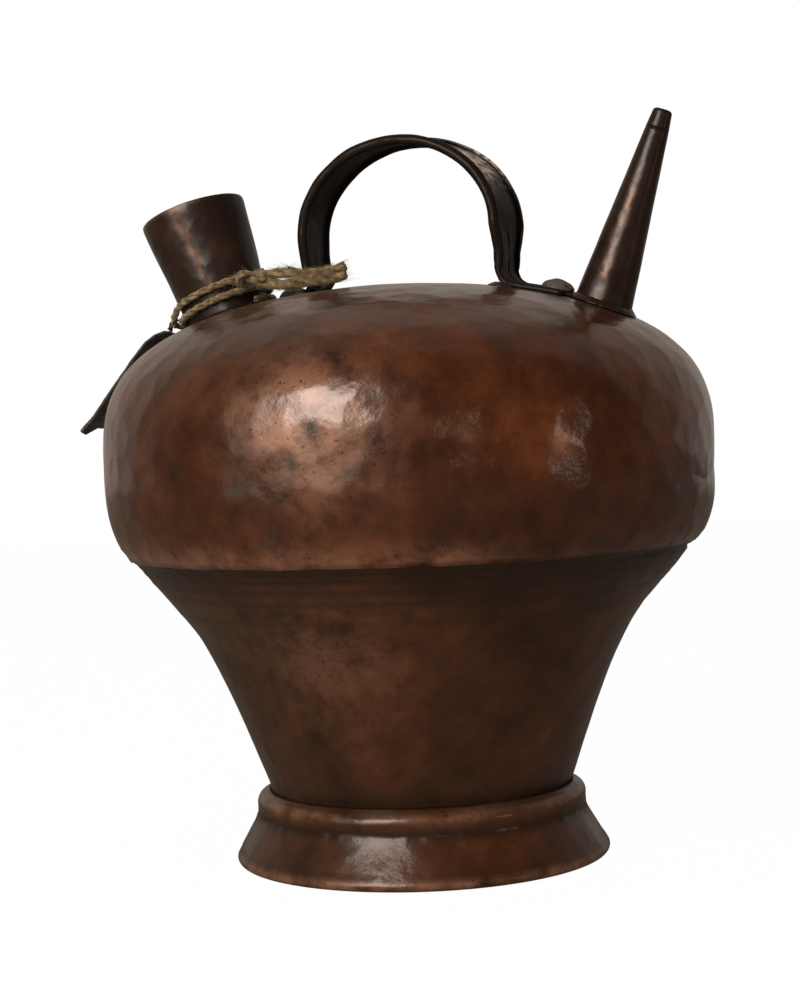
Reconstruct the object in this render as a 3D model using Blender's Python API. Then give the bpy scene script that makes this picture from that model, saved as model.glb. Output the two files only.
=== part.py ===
"""A copper drinking-water jug: two shells, a foot, a filler neck, a spout, a handle and a tag on twine.

Metres, +Z up, origin at the centre of the foot on the floor. +X points to the spout, -X to the filler neck.
"""
import math

import bmesh
import bpy
from mathutils import Matrix, Vector

for old in list(bpy.data.objects):
    bpy.data.objects.remove(old, do_unlink=True)

# Sheet and fits
SHEET = 0.0012
FIT = 0.0003
OVERRUN = 0.02
HALF = 0.5

# Upper shell: crown, shoulder and belly
BELLY_RADIUS = 0.128
BELLY_LEVEL = 0.168
CROWN_LEVEL = 0.240
KINK_DRAW = 0.0057
KINK_LEVEL = 0.134
LIP_DRAW = 0.0039
LIP_LEVEL = 0.1285
CROWN_POWER = 3
BELLY_POWER = 3

# Lower shell: the concave cup under the seam
LAP_HEIGHT = 0.0035
WAIST_RADIUS = 0.0639
WAIST_LEVEL = 0.031
CUP_END_DRAW = 0.0014
CUP_END_LEVEL = 0.017
CUP_STRAIGHT_SHARE = 0.66
CUP_POWER = 3.8

# Floor disc, dished, with its flange turned up inside the lower shell
FLOOR_LEVEL = 0.0185
FLOOR_FLANGE = 0.007
FLOOR_DISH = 0.002

# Foot skirt with its round shoulder and its wired hem
FOOT_SPREAD = 0.0150
FOOT_SHOULDER_PROUD = 0.0056
FOOT_SHOULDER_LEVEL = 0.0245
FOOT_CREASE_PROUD = 0.0051
FOOT_CREASE_LEVEL = 0.0200
FOOT_TOP_ROUND = 0.0045
FOOT_HEM_RADIUS = 0.0023
FOOT_HEM_WEAR = 0.00025
FOOT_TOP_START_ANGLE = 75.0
FOOT_HEM_START_ANGLE = 20.0
FOOT_HEM_END_ANGLE = -235.0
FOOT_WIRE_RADIUS = 0.0008

# Filler neck
NECK_TO_FOOT = 0.0056
NECK_TILT = math.radians(18.0)
NECK_LENGTH = 0.0515
NECK_ROOT_RADIUS = 0.0179
NECK_RIM_RADIUS = 0.0233
NECK_HEM_HEIGHT = 0.0022
NECK_HEM_PROUD = 0.0004

# Drinking spout and its tip
SPOUT_TO_FOOT = 0.0016
SPOUT_TILT = math.radians(19.9)
SPOUT_LENGTH = 0.0735
SPOUT_ROOT_RADIUS = 0.0120
SPOUT_END_RADIUS = 0.0048
TIP_LENGTH = 0.0080
TIP_END_RADIUS = 0.0040
TIP_BORE_RADIUS = 0.0023
TIP_SPIGOT_LENGTH = 0.004
TIP_ROUND = 0.0008

# Handle strap: an arch with wired edges and two flat feet
HANDLE_CENTRE_X = 0.0036
HANDLE_HALF_SPAN = 0.0434
HANDLE_SPRING_LEVEL = 0.262
HANDLE_CROWN_LEVEL = 0.3002
HANDLE_LEG_PINCH = 0.0018
HANDLE_GRIP_END_LEVEL = 0.251
HANDLE_WIDTH = 0.030
HANDLE_FLARE = 0.065
HANDLE_SKEW = 0.032
HANDLE_LEG_NARROWING = 0.0018
HANDLE_BEAD_RADIUS = 0.0022
HANDLE_WIRE_RADIUS = 0.0008
HANDLE_CURL_END = 290.0
HANDLE_PLATE = 0.0014
HANDLE_FOOT_WIDTH = 0.0255
HANDLE_FOOT_PLATE = 0.0018
HANDLE_FOOT_LAP = 0.002
HANDLE_BEND_RADIUS = 0.0050
RIGHT_FOOT_REACH = 0.0262
LEFT_FOOT_REACH = 0.0167

# Rivets
RIVET_SHANK_RADIUS = 0.0016
RIVET_HEAD_RADIUS = 0.0061
RIVET_HEAD_HEIGHT = 0.0030
RIVET_TAIL_RADIUS = 0.0030
RIVET_TAIL_HEIGHT = 0.0014
ROVE_RADIUS = 0.0060
ROVE_THICKNESS = 0.0010
RIGHT_RIVET_REACH = 0.0207
LEFT_RIVET_REACH = 0.0097

# Solder
NECK_SOLDER = 0.0030
SPOUT_SOLDER = 0.0022
SEAM_SOLDER = 0.0022
FOOT_SOLDER = 0.0022
HANDLE_SOLDER_LENGTH = 0.0120
HANDLE_SOLDER_WIDTH = 0.0080
HANDLE_SOLDER_HEIGHT = 0.0052

# Twine wound twice round the neck, its knot and its two free ends
TWINE_RADIUS = 0.00145
WINDING_START_ANGLE = math.radians(28.0)
WINDING_TURNS = 2
WINDING_TOP = 0.0138
WINDING_PITCH = 0.0053
WINDING_BULGE = 0.0047
WINDING_DIP = 0.0035
WINDING_BULGE_ANGLE = math.radians(42.0)
KNOT_X = -0.0608
KNOT_Y = -0.0195
KNOT_Z = 0.2463
KNOT_REACH = 0.0064
KNOT_DEPTH = 0.0031
KNOT_TILT = math.radians(24.0)
KNOT_OPENING_SHARE = 0.05
UPPER_TAIL = ((-0.0531, -0.0196, 0.2476), (-0.0485, -0.0200, 0.2490), (-0.0430, -0.0203, 0.2498),
              (-0.0375, -0.0202, 0.2492), (-0.0320, -0.0198, 0.2489), (-0.0255, -0.0193, 0.2490),
              (-0.0180, -0.0189, 0.2494))
LOWER_TAIL = ((-0.0531, -0.0198, 0.2443), (-0.0485, -0.0205, 0.2440), (-0.0430, -0.0208, 0.2446),
              (-0.0375, -0.0204, 0.2454), (-0.0320, -0.0198, 0.2457), (-0.0255, -0.0192, 0.2457),
              (-0.0180, -0.0187, 0.2460))

# Tag and the loop that it hangs on
LOOP_CORD_RADIUS = 0.0008
LOOP_PLAY = 0.0005
LOOP_HALF_WIDTH = 0.0029
LOOP_LENGTH = 0.0062
LOOP_SLOPE = math.radians(67.0)
LOOP_SPLAY = 0.0011
LOOP_LAP_SHARE = 0.04
TAG_LENGTH = 0.0505
TAG_WIDTH = 0.0270
TAG_THICKNESS = 0.0014
TAG_HEAD_MARGIN = 0.0036
TAG_HEAD_SHARES = ((-1.0, -0.30), (-0.75, -0.58), (0.2, -0.84), (1.6, -1.0))
TAG_FAR_HEAD_SHARES = ((2.0, 1.0), (1.0, 0.45), (-0.5, 0.45), (-1.0, 0.22))
TAG_HOLE_RADIUS = 0.0024
TAG_HOLE_DROP = 0.0006
TAG_SLOPE = math.radians(47.0)
TAG_TWIST = math.radians(21.5)
TAG_TIP_SHARES = ((0.98, -1.0), (1.12, -1.10), (1.13, -0.86), (1.03, -0.60), (1.0, -0.10), (0.93, 0.30),
                  (0.90, 1.0))

# Places that follow from the sizes above
KINK_RADIUS = BELLY_RADIUS - KINK_DRAW
LIP_RADIUS = KINK_RADIUS - LIP_DRAW
CUP_END_RADIUS = WAIST_RADIUS - CUP_END_DRAW
FOOT_RADIUS = WAIST_RADIUS + FOOT_SPREAD
FOOT_SHOULDER_RADIUS = WAIST_RADIUS + FOOT_SHOULDER_PROUD
FOOT_CREASE_RADIUS = WAIST_RADIUS + FOOT_CREASE_PROUD
RIGHT_FOOT_END_X = HANDLE_CENTRE_X + HANDLE_HALF_SPAN + RIGHT_FOOT_REACH
LEFT_FOOT_END_X = HANDLE_CENTRE_X - HANDLE_HALF_SPAN - LEFT_FOOT_REACH
RIGHT_RIVET_X = HANDLE_CENTRE_X + HANDLE_HALF_SPAN + RIGHT_RIVET_REACH
LEFT_RIVET_X = HANDLE_CENTRE_X - HANDLE_HALF_SPAN - LEFT_RIVET_REACH
NECK_ROOT_X = LEFT_FOOT_END_X - NECK_TO_FOOT - NECK_ROOT_RADIUS
SPOUT_ROOT_X = RIGHT_FOOT_END_X + SPOUT_TO_FOOT + SPOUT_ROOT_RADIUS

# Counts
SHELL_SIDES = 48
CONE_SIDES = 32
SMALL_SIDES = 16
CROWN_STEPS = 12
BELLY_STEPS = 5
CUP_STEPS = 10
ARCH_STEPS = 20
BEAD_STEPS = 7
LOOP_POINTS = 24
KNOT_POINTS = 30
FOOT_STEPS = 4
BEND_STEPS = 6
FOOT_TOP_STEPS = 3
HEM_STEPS = 6
HEM_OUTER_STEPS = 3
WIRE_SIDES = 6
TAIL_STEPS = 2
WOUND_RESOLUTION = 1
CORD_RESOLUTION = 2
HALVINGS = 40
TREFOIL_REACH = 3
PER_MILLIMETRE = 1000

SHARP_ANGLE = math.radians(35)

COPPER = (0.115, 0.048, 0.024)
DARK_COPPER = (0.040, 0.020, 0.014)
SOLDER_GREY = (0.20, 0.19, 0.16)
IRON = (0.06, 0.05, 0.045)
JUTE = (0.36, 0.25, 0.12)
LEATHER = (0.020, 0.012, 0.009)
METAL_ROUGHNESS = 0.35
SOLDER_ROUGHNESS = 0.5
CORD_ROUGHNESS = 0.9
LEATHER_ROUGHNESS = 0.6


def material(name, colour, metallic, roughness):
    """A Principled material with one colour."""
    made = bpy.data.materials.new(name)
    made.use_nodes = True
    shader = made.node_tree.nodes["Principled BSDF"]
    shader.inputs["Base Color"].default_value = (*colour, 1)
    shader.inputs["Metallic"].default_value = metallic
    shader.inputs["Roughness"].default_value = roughness
    return made


def add_object(name, bm, colour, metallic=1.0, roughness=METAL_ROUGHNESS, guide=False):
    """Turns a bmesh into a named object with its own material; a guide stays out of the model."""
    bmesh.ops.recalc_face_normals(bm, faces=bm.faces)
    mesh = bpy.data.meshes.new(name)
    bm.to_mesh(mesh)
    bm.free()
    mesh.shade_smooth()
    mesh.set_sharp_from_angle(angle=SHARP_ANGLE)
    made = bpy.data.objects.new(name, mesh)
    bpy.context.collection.objects.link(made)
    made.data.materials.append(material(name, colour, metallic, roughness))
    if guide:
        made.hide_render = True
        made.display_type = "WIRE"
    return made


def cut(target, cutter, operation="DIFFERENCE"):
    """Cuts or joins with a hidden helper."""
    modifier = target.modifiers.new(cutter.name, "BOOLEAN")
    modifier.operation = operation
    modifier.solver = "EXACT"
    modifier.object = cutter


def turned_mesh(profile, sides, place=None, closed=True):
    """A solid turned about +Z from (radius, height) points; points nearly on the axis become poles."""
    bm = bmesh.new()
    rings = []
    for radius, height in profile:
        if radius < FIT:
            rings.append([bm.verts.new((0, 0, height))])
            continue
        ring = []
        for side in range(sides):
            angle = 2 * math.pi * side / sides
            ring.append(bm.verts.new((radius * math.cos(angle), radius * math.sin(angle), height)))
        rings.append(ring)
    pairs = list(zip(rings, rings[1:]))
    if closed:
        pairs.append((rings[-1], rings[0]))
    for low, high in pairs:
        if len(low) == 1 and len(high) == 1:
            continue
        for side in range(sides):
            following = (side + 1) % sides
            if len(low) == 1:
                bm.faces.new((low[0], high[side], high[following]))
            elif len(high) == 1:
                bm.faces.new((low[side], low[following], high[0]))
            else:
                bm.faces.new((low[side], low[following], high[following], high[side]))
    if place is not None:
        bmesh.ops.transform(bm, matrix=place, verts=bm.verts)
    return bm


def offset_profile(points, distance):
    """Moves an outline that runs down its outer side outward by a distance, or inward if it is negative."""
    moved = []
    for index, (radius, height) in enumerate(points):
        before = points[max(index - 1, 0)]
        after = points[min(index + 1, len(points) - 1)]
        run = Vector((after[0] - before[0], after[1] - before[1])).normalized()
        moved.append((max(radius - run.y * distance, 0), height + run.x * distance))
    return moved


def crown_height(radius):
    """Height of the upper shell's outer face above the floor, at a radius."""
    share = min(radius / BELLY_RADIUS, 1)
    return BELLY_LEVEL + (CROWN_LEVEL - BELLY_LEVEL) * (1 - share ** 2) ** (1 / CROWN_POWER)


def crown_slope(x):
    """Angle by which the crown falls outward at a distance from the axis."""
    step = SHEET
    return math.atan2(crown_height(abs(x) - step) - crown_height(abs(x) + step), 2 * step)


def belly_radius(height):
    """Outer radius of the upper shell between its kink and its widest level."""
    share = (BELLY_LEVEL - height) / (BELLY_LEVEL - KINK_LEVEL)
    return BELLY_RADIUS - KINK_DRAW * share ** BELLY_POWER


def upper_outline():
    """Outer face of the upper shell, from the crown's centre down to its lip."""
    points = []
    for step in range(CROWN_STEPS + 1):
        angle = HALF * math.pi * step / CROWN_STEPS
        radius = BELLY_RADIUS * math.sin(angle)
        points.append((radius, crown_height(radius)))
    for step in range(1, BELLY_STEPS + 1):
        height = BELLY_LEVEL - (BELLY_LEVEL - KINK_LEVEL) * step / BELLY_STEPS
        points.append((belly_radius(height), height))
    points.append((LIP_RADIUS, LIP_LEVEL))
    return points


def cup_radius(height):
    """Outer radius of the lower shell between the waist and the lip."""
    share = (height - WAIST_LEVEL) / (LIP_LEVEL - WAIST_LEVEL)
    bend = CUP_STRAIGHT_SHARE * share + (1 - CUP_STRAIGHT_SHARE) * share ** CUP_POWER
    seat = LIP_RADIUS - SHEET - FIT
    return WAIST_RADIUS + (seat - WAIST_RADIUS) * bend


def lap_point(level, inset):
    """Point inside the upper shell's wall above the kink, at an inset from its outer face."""
    wall = [(belly_radius(height), height) for height in (level + SHEET, level, level - SHEET)]
    return offset_profile(wall, -inset)[1]


def lower_outline():
    """Outer face of the lower shell, from its lap inside the upper shell down to the floor."""
    lap_top = KINK_LEVEL + LAP_HEIGHT
    lap = [(belly_radius(lap_top), lap_top), (KINK_RADIUS, KINK_LEVEL), (LIP_RADIUS, LIP_LEVEL)]
    points = offset_profile(lap, -SHEET - FIT)
    points[0] = lap_point(lap_top, SHEET + FIT)
    for step in range(CUP_STEPS + 1):
        height = LIP_LEVEL - (LIP_LEVEL - WAIST_LEVEL) * step / CUP_STEPS
        points.append((cup_radius(height), height))
    points.append((CUP_END_RADIUS, CUP_END_LEVEL))
    return points


def shell_profile(outline, thickness):
    """Closes an outer outline with the inner face of a sheet."""
    inner = offset_profile(outline, -thickness)
    if outline[0][0] < FIT:
        inner[0] = (0, outline[0][1] - thickness)
    return list(outline) + inner[::-1]


def tilted_place(root_x, tilt):
    """Frame of a neck or spout: origin on the crown, +Z along its axis."""
    root = Vector((root_x, 0, crown_height(abs(root_x))))
    return Matrix.Translation(root) @ Matrix.Rotation(tilt, 4, "Y")


NECK_PLACE = tilted_place(NECK_ROOT_X, -NECK_TILT)
SPOUT_PLACE = tilted_place(SPOUT_ROOT_X, SPOUT_TILT)


def neck_radius(along):
    """Outer radius of the neck at a distance along its axis."""
    return NECK_ROOT_RADIUS + (NECK_RIM_RADIUS - NECK_ROOT_RADIUS) * along / NECK_LENGTH


def spout_radius(along):
    """Outer radius of the spout at a distance along its axis."""
    return SPOUT_ROOT_RADIUS + (SPOUT_END_RADIUS - SPOUT_ROOT_RADIUS) * along / SPOUT_LENGTH


def seat_cutter(name, clearance):
    """The body's outside as a solid, grown by a clearance, to trim what stands on it."""
    outline = offset_profile(upper_outline(), clearance)
    outline[0] = (0, CROWN_LEVEL + clearance)
    outline.append((0, LIP_LEVEL))
    return add_object(name, turned_mesh(outline, SHELL_SIDES, closed=False), COPPER, guide=True)


def cone_cutter(name, place, radius_at, near, far, inset):
    """A solid cone along a neck or spout, inset from its outer face."""
    profile = [(0, far), (radius_at(far) - inset, far), (radius_at(near) - inset, near), (0, near)]
    return add_object(name, turned_mesh(profile, CONE_SIDES, place, closed=False), COPPER, guide=True)


def build_body():
    profile = shell_profile(upper_outline(), SHEET)
    upper = add_object("upper_shell", turned_mesh(profile, SHELL_SIDES), COPPER)
    cut(upper, cone_cutter("neck_bore_cutter", NECK_PLACE, neck_radius, -OVERRUN, OVERRUN, SHEET))
    cut(upper, cone_cutter("spout_bore_cutter", SPOUT_PLACE, spout_radius, -OVERRUN, OVERRUN, SHEET))
    for name, x in (("right_rivet_hole_cutter", RIGHT_RIVET_X), ("left_rivet_hole_cutter", LEFT_RIVET_X)):
        cut(upper, rivet_hole_cutter(name, x))
    add_object("lower_shell", turned_mesh(shell_profile(lower_outline(), SHEET), SHELL_SIDES), COPPER)
    inside = CUP_END_RADIUS - SHEET - FIT
    rise = (WAIST_RADIUS - CUP_END_RADIUS) / (WAIST_LEVEL - CUP_END_LEVEL)
    top = FLOOR_LEVEL + FLOOR_FLANGE
    outline = [(0, FLOOR_LEVEL + FLOOR_DISH), (inside * HALF, FLOOR_LEVEL + FLOOR_DISH * (1 - HALF ** 2)),
               (inside - SHEET, FLOOR_LEVEL), (inside - SHEET * HALF, FLOOR_LEVEL - SHEET),
               (inside + rise * (FLOOR_LEVEL - CUP_END_LEVEL), FLOOR_LEVEL),
               (inside + rise * (top - CUP_END_LEVEL), top)]
    inner = [(inside + rise * (top - CUP_END_LEVEL) - SHEET, top), (inside - SHEET, FLOOR_LEVEL + SHEET),
             (inside * HALF, FLOOR_LEVEL + FLOOR_DISH * (1 - HALF ** 2) + SHEET),
             (0, FLOOR_LEVEL + FLOOR_DISH + SHEET)]
    add_object("floor_disc", turned_mesh(outline + inner, SHELL_SIDES, closed=False), COPPER)


def arc_points(centre, radius, start, end, steps):
    """Points on an arc in a plane, angles in degrees."""
    points = []
    for step in range(steps + 1):
        angle = math.radians(start + (end - start) * step / steps)
        points.append((centre[0] + radius * math.cos(angle), centre[1] + radius * math.sin(angle)))
    return points


def wire_section(centre, radius):
    """The six-sided section of a wire."""
    return arc_points(centre, radius, 0, 360 - 360 / WIRE_SIDES, WIRE_SIDES - 1)


def build_foot():
    hem_x = FOOT_RADIUS - FOOT_HEM_RADIUS
    hem_z = FOOT_HEM_RADIUS - FOOT_HEM_WEAR
    hole = FOOT_WIRE_RADIUS + FIT
    top_radius = WAIST_RADIUS + FIT
    top_level = FOOT_SHOULDER_LEVEL + FOOT_TOP_ROUND + SHEET
    outer = [(top_radius, top_level)]
    outer += arc_points((FOOT_SHOULDER_RADIUS - FOOT_TOP_ROUND, FOOT_SHOULDER_LEVEL), FOOT_TOP_ROUND,
                        FOOT_TOP_START_ANGLE, 0, FOOT_TOP_STEPS)
    outer.append((FOOT_CREASE_RADIUS, FOOT_CREASE_LEVEL))
    outer.append((FOOT_CREASE_RADIUS + SHEET, FOOT_CREASE_LEVEL - SHEET * 2))
    inner = offset_profile(outer, -SHEET)
    inner[0] = (top_radius, top_level - SHEET)
    flat = math.degrees(math.asin(hem_z / FOOT_HEM_RADIUS))
    hem_out = arc_points((hem_x, hem_z), FOOT_HEM_RADIUS, FOOT_HEM_START_ANGLE, -flat, HEM_OUTER_STEPS)
    hem_out += arc_points((hem_x, hem_z), FOOT_HEM_RADIUS, flat - 180, FOOT_HEM_END_ANGLE,
                          HEM_STEPS - HEM_OUTER_STEPS)
    hem_in = arc_points((hem_x, hem_z), hole, FOOT_HEM_END_ANGLE, FOOT_HEM_START_ANGLE, HEM_STEPS)
    loop = outer + hem_out + hem_in
    loop.append((hem_x - SHEET * HALF, hem_z + FOOT_HEM_RADIUS + SHEET))
    loop += inner[::-1]
    add_object("foot_skirt", turned_mesh(loop, SHELL_SIDES), COPPER)
    wire = wire_section((hem_x, hem_z), FOOT_WIRE_RADIUS)
    add_object("foot_rim_wire", turned_mesh(wire, SHELL_SIDES), IRON)


def build_neck_and_spout():
    seat = seat_cutter("crown_seat_cutter", FIT)
    near = -OVERRUN * HALF
    hem = NECK_LENGTH - NECK_HEM_HEIGHT
    outer = [(neck_radius(near), near), (neck_radius(hem), hem),
             (neck_radius(hem) + NECK_HEM_PROUD, hem + NECK_HEM_PROUD),
             (NECK_RIM_RADIUS + NECK_HEM_PROUD, NECK_LENGTH - NECK_HEM_PROUD),
             (NECK_RIM_RADIUS, NECK_LENGTH)]
    inner = [(NECK_RIM_RADIUS - SHEET, NECK_LENGTH), (neck_radius(near) - SHEET, near)]
    neck = add_object("filler_neck", turned_mesh(outer + inner, CONE_SIDES, NECK_PLACE), DARK_COPPER)
    cut(neck, seat)
    outer = [(spout_radius(near), near), (spout_radius(SPOUT_LENGTH), SPOUT_LENGTH)]
    inner = [(spout_radius(SPOUT_LENGTH) - SHEET, SPOUT_LENGTH), (spout_radius(near) - SHEET, near)]
    spout = add_object("drinking_spout", turned_mesh(outer + inner, CONE_SIDES, SPOUT_PLACE), DARK_COPPER)
    cut(spout, seat)
    end = SPOUT_LENGTH + TIP_LENGTH
    spigot = SPOUT_LENGTH - TIP_SPIGOT_LENGTH
    spigot_radius = spout_radius(SPOUT_LENGTH) - SHEET - FIT
    collar = SPOUT_LENGTH + FIT
    tip = [(spigot_radius, spigot), (spigot_radius, collar), (SPOUT_END_RADIUS, collar),
           (TIP_END_RADIUS, end - TIP_ROUND), (TIP_END_RADIUS - TIP_ROUND, end),
           (TIP_BORE_RADIUS, end), (TIP_BORE_RADIUS, spigot)]
    add_object("spout_tip", turned_mesh(tip, CONE_SIDES, SPOUT_PLACE), DARK_COPPER)


def root_along(place, radius_at, angle, clearance):
    """Distance along a cone's axis where its wall, grown by a clearance, meets the grown crown."""
    low, high = -OVERRUN, OVERRUN
    for _ in range(HALVINGS):
        middle = (low + high) * HALF
        reach = radius_at(middle) + clearance
        point = place @ Vector((reach * math.cos(angle), reach * math.sin(angle), middle))
        if point.z > crown_height(math.hypot(point.x, point.y)) + clearance:
            high = middle
        else:
            low = middle
    return high


def solder_ring(name, place, radius_at, size):
    """A fillet of solder round the root of a cone, on the crown."""
    bm = bmesh.new()
    rings = []
    for side in range(CONE_SIDES):
        angle = 2 * math.pi * side / CONE_SIDES
        along = root_along(place, radius_at, angle, FIT)
        outward = Vector((math.cos(angle), math.sin(angle), 0))
        foot = place @ (outward * (radius_at(along) + FIT) + Vector((0, 0, along)))
        top = place @ (outward * (radius_at(along + size) + FIT) + Vector((0, 0, along + size)))
        swell = place @ (outward * (radius_at(along) + size * HALF) + Vector((0, 0, along + size * HALF)))
        toe = place @ (outward * (radius_at(along) + size) + Vector((0, 0, along)))
        toe.z = crown_height(math.hypot(toe.x, toe.y)) + FIT
        ring = [foot, toe, toe + Vector((0, 0, FIT)), swell, top]
        rings.append([bm.verts.new(point) for point in ring])
    for ring, following in zip(rings, rings[1:] + rings[:1]):
        for corner in range(len(ring)):
            after = (corner + 1) % len(ring)
            bm.faces.new((ring[corner], ring[after], following[after], following[corner]))
    return add_object(name, bm, SOLDER_GREY, roughness=SOLDER_ROUGHNESS)


def build_solder():
    solder_ring("neck_solder", NECK_PLACE, neck_radius, NECK_SOLDER)
    ring = solder_ring("spout_solder", SPOUT_PLACE, spout_radius, SPOUT_SOLDER)
    _, side, end_x, _ = FEET[0]
    strip = swept_strip(foot_section(FIT), foot_path(side, end_x + FIT, FIT + HANDLE_FOOT_PLATE * HALF))
    cut(ring, add_object("spout_solder_clearance_cutter", strip, COPPER, guide=True))
    level = KINK_LEVEL + LAP_HEIGHT + FIT
    profile = [lap_point(level, SHEET + FIT + SHEET), lap_point(level, SHEET + FIT),
               lap_point(level + SEAM_SOLDER, SHEET + FIT),
               lap_point(level + SEAM_SOLDER * HALF, SHEET + FIT + SHEET * HALF)]
    add_object("seam_solder", turned_mesh(profile, SHELL_SIDES), SOLDER_GREY, roughness=SOLDER_ROUGHNESS)
    face = WAIST_RADIUS + FIT
    under = FOOT_SHOULDER_LEVEL + FOOT_TOP_ROUND - FIT * 3
    middle = face + FOOT_SOLDER * HALF
    profile = [(face, under), (middle, under - FOOT_SOLDER * HALF), (middle, under - FOOT_SOLDER),
               (face, under - FOOT_SOLDER)]
    add_object("foot_solder", turned_mesh(profile, SHELL_SIDES), SOLDER_GREY, roughness=SOLDER_ROUGHNESS)


def arch_bend(side, level, normal):
    """How far a point of the grip moves from a plain arch; the normal points into the arch."""
    share = (level - HANDLE_GRIP_END_LEVEL) / (HANDLE_SPRING_LEVEL - HANDLE_GRIP_END_LEVEL)
    share = min(max(share, 0), 1)
    narrowing = Vector((0, -math.copysign(HANDLE_LEG_NARROWING, side), 0))
    lean = Vector((side * HANDLE_SKEW, 0, 0)) - normal * side * HANDLE_FLARE
    return lean * share + narrowing * (1 - share)


def swept_strip(section, path, bent=False):
    """Sweeps a closed (outward, sideways) section along a path in the XZ plane, with filled ends.

    A bent strip opens and leans a little towards its back edge over the arch, and its two
    edges draw together down the legs.
    """
    bm = bmesh.new()
    rings = []
    for index, (x, z) in enumerate(path):
        before = path[max(index - 1, 0)]
        after = path[min(index + 1, len(path) - 1)]
        run = Vector((after[0] - before[0], 0, after[1] - before[1])).normalized()
        normal = Vector((-run.z, 0, run.x))
        centre = Vector((x, 0, z))
        rings.append([])
        for out, side in section:
            point = centre + normal * out + Vector((0, side, 0))
            if bent:
                point += arch_bend(side, z, normal)
            rings[-1].append(bm.verts.new(point))
    for ring, following in zip(rings, rings[1:]):
        for corner in range(len(ring)):
            after = (corner + 1) % len(ring)
            bm.faces.new((ring[corner], ring[after], following[after], following[corner]))
    bm.faces.new(rings[0])
    bm.faces.new(rings[-1][::-1])
    return bm


def leg_reach(level):
    """Half span of the handle's legs at a level under the spring of the arch."""
    share = (HANDLE_SPRING_LEVEL - level) / (HANDLE_SPRING_LEVEL - CROWN_LEVEL)
    return HANDLE_HALF_SPAN - HANDLE_LEG_PINCH * share ** 2


def grip_path():
    """Middle line of the handle's grip, from the right leg over the arch to the left leg."""
    leg = [HANDLE_GRIP_END_LEVEL, (HANDLE_GRIP_END_LEVEL + HANDLE_SPRING_LEVEL) * HALF]
    points = [(HANDLE_CENTRE_X + leg_reach(level), level) for level in leg]
    for step in range(ARCH_STEPS + 1):
        angle = math.pi * step / ARCH_STEPS
        points.append((HANDLE_CENTRE_X + HANDLE_HALF_SPAN * math.cos(angle),
                       HANDLE_SPRING_LEVEL + (HANDLE_CROWN_LEVEL - HANDLE_SPRING_LEVEL) * math.sin(angle)))
    points += [(HANDLE_CENTRE_X - leg_reach(level), level) for level in leg[::-1]]
    return points


def bead_arc(radius, start, end):
    """Points (outward, along) round an edge bead; zero degrees points back to the strip."""
    points = []
    for step in range(BEAD_STEPS + 1):
        angle = math.radians(start + (end - start) * step / BEAD_STEPS)
        points.append((radius * math.sin(angle), -radius * math.cos(angle)))
    return points


def grip_section():
    """Section of the grip: a flat strip whose two edges curl round their wires."""
    bead_y = HANDLE_WIDTH * HALF - HANDLE_BEAD_RADIUS
    hole = HANDLE_WIRE_RADIUS + FIT
    leave = math.degrees(math.asin(HANDLE_PLATE * HALF / HANDLE_BEAD_RADIUS))
    arrive = -math.degrees(math.asin(HANDLE_PLATE * HALF / hole))
    curl = bead_arc(HANDLE_BEAD_RADIUS, leave, HANDLE_CURL_END) + bead_arc(hole, HANDLE_CURL_END, arrive)
    right = [(out, bead_y + along) for out, along in curl]
    left = [(out, -side) for out, side in right[::-1]]
    return right + left


def foot_path(side, end_x, lift):
    """Middle line of a handle foot: down the leg, round the bend and out along the crown."""
    top = HANDLE_GRIP_END_LEVEL + HANDLE_FOOT_LAP
    reach = leg_reach(CROWN_LEVEL)
    bend_x = HANDLE_CENTRE_X + side * (reach + HANDLE_BEND_RADIUS)
    slope = crown_slope(bend_x)

    def level(x):
        return crown_height(abs(x)) + lift / math.cos(crown_slope(x))

    end_of_bend = bend_x - side * HANDLE_BEND_RADIUS * math.sin(slope)
    centre_z = level(end_of_bend) + HANDLE_BEND_RADIUS * math.cos(slope)
    points = []
    for step in range(FOOT_STEPS):
        height = top + (centre_z - top) * step / FOOT_STEPS
        points.append((HANDLE_CENTRE_X + side * leg_reach(max(height, CROWN_LEVEL)), height))
    turn = HALF * math.pi - slope
    for step in range(BEND_STEPS + 1):
        angle = turn * step / BEND_STEPS
        points.append((bend_x - side * HANDLE_BEND_RADIUS * math.cos(angle),
                       centre_z - HANDLE_BEND_RADIUS * math.sin(angle)))
    for step in range(1, FOOT_STEPS + 1):
        x = end_of_bend + (end_x - end_of_bend) * step / FOOT_STEPS
        points.append((x, level(x)))
    return points


def foot_section(grow):
    """Flat section of a handle foot with small bevels, grown by a clearance."""
    out = HANDLE_FOOT_PLATE * HALF + grow
    side = HANDLE_FOOT_WIDTH * HALF + grow
    bevel = HANDLE_FOOT_PLATE * HALF * HALF
    return [(-out, side - bevel), (-out + bevel, side), (out - bevel, side), (out, side - bevel),
            (out, bevel - side), (out - bevel, -side), (bevel - out, -side), (-out, bevel - side)]


def rivet_place(x):
    """Frame of a rivet: origin on the crown, +Z along its shank, outward."""
    slope = crown_slope(x)
    turn = slope if x > 0 else -slope
    return Matrix.Translation(Vector((x, 0, crown_height(abs(x))))) @ Matrix.Rotation(turn, 4, "Y")


def rivet_hole_cutter(name, x):
    """A cylinder through the crown and the handle's foot for a rivet's shank."""
    radius = RIVET_SHANK_RADIUS + FIT
    reach = OVERRUN * HALF
    profile = [(0, reach), (radius, reach), (radius, -reach), (0, -reach)]
    bm = turned_mesh(profile, SMALL_SIDES, rivet_place(x), closed=False)
    return add_object(name, bm, COPPER, guide=True)


FEET = (("right", 1, RIGHT_FOOT_END_X, RIGHT_RIVET_X), ("left", -1, LEFT_FOOT_END_X, LEFT_RIVET_X))


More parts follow.
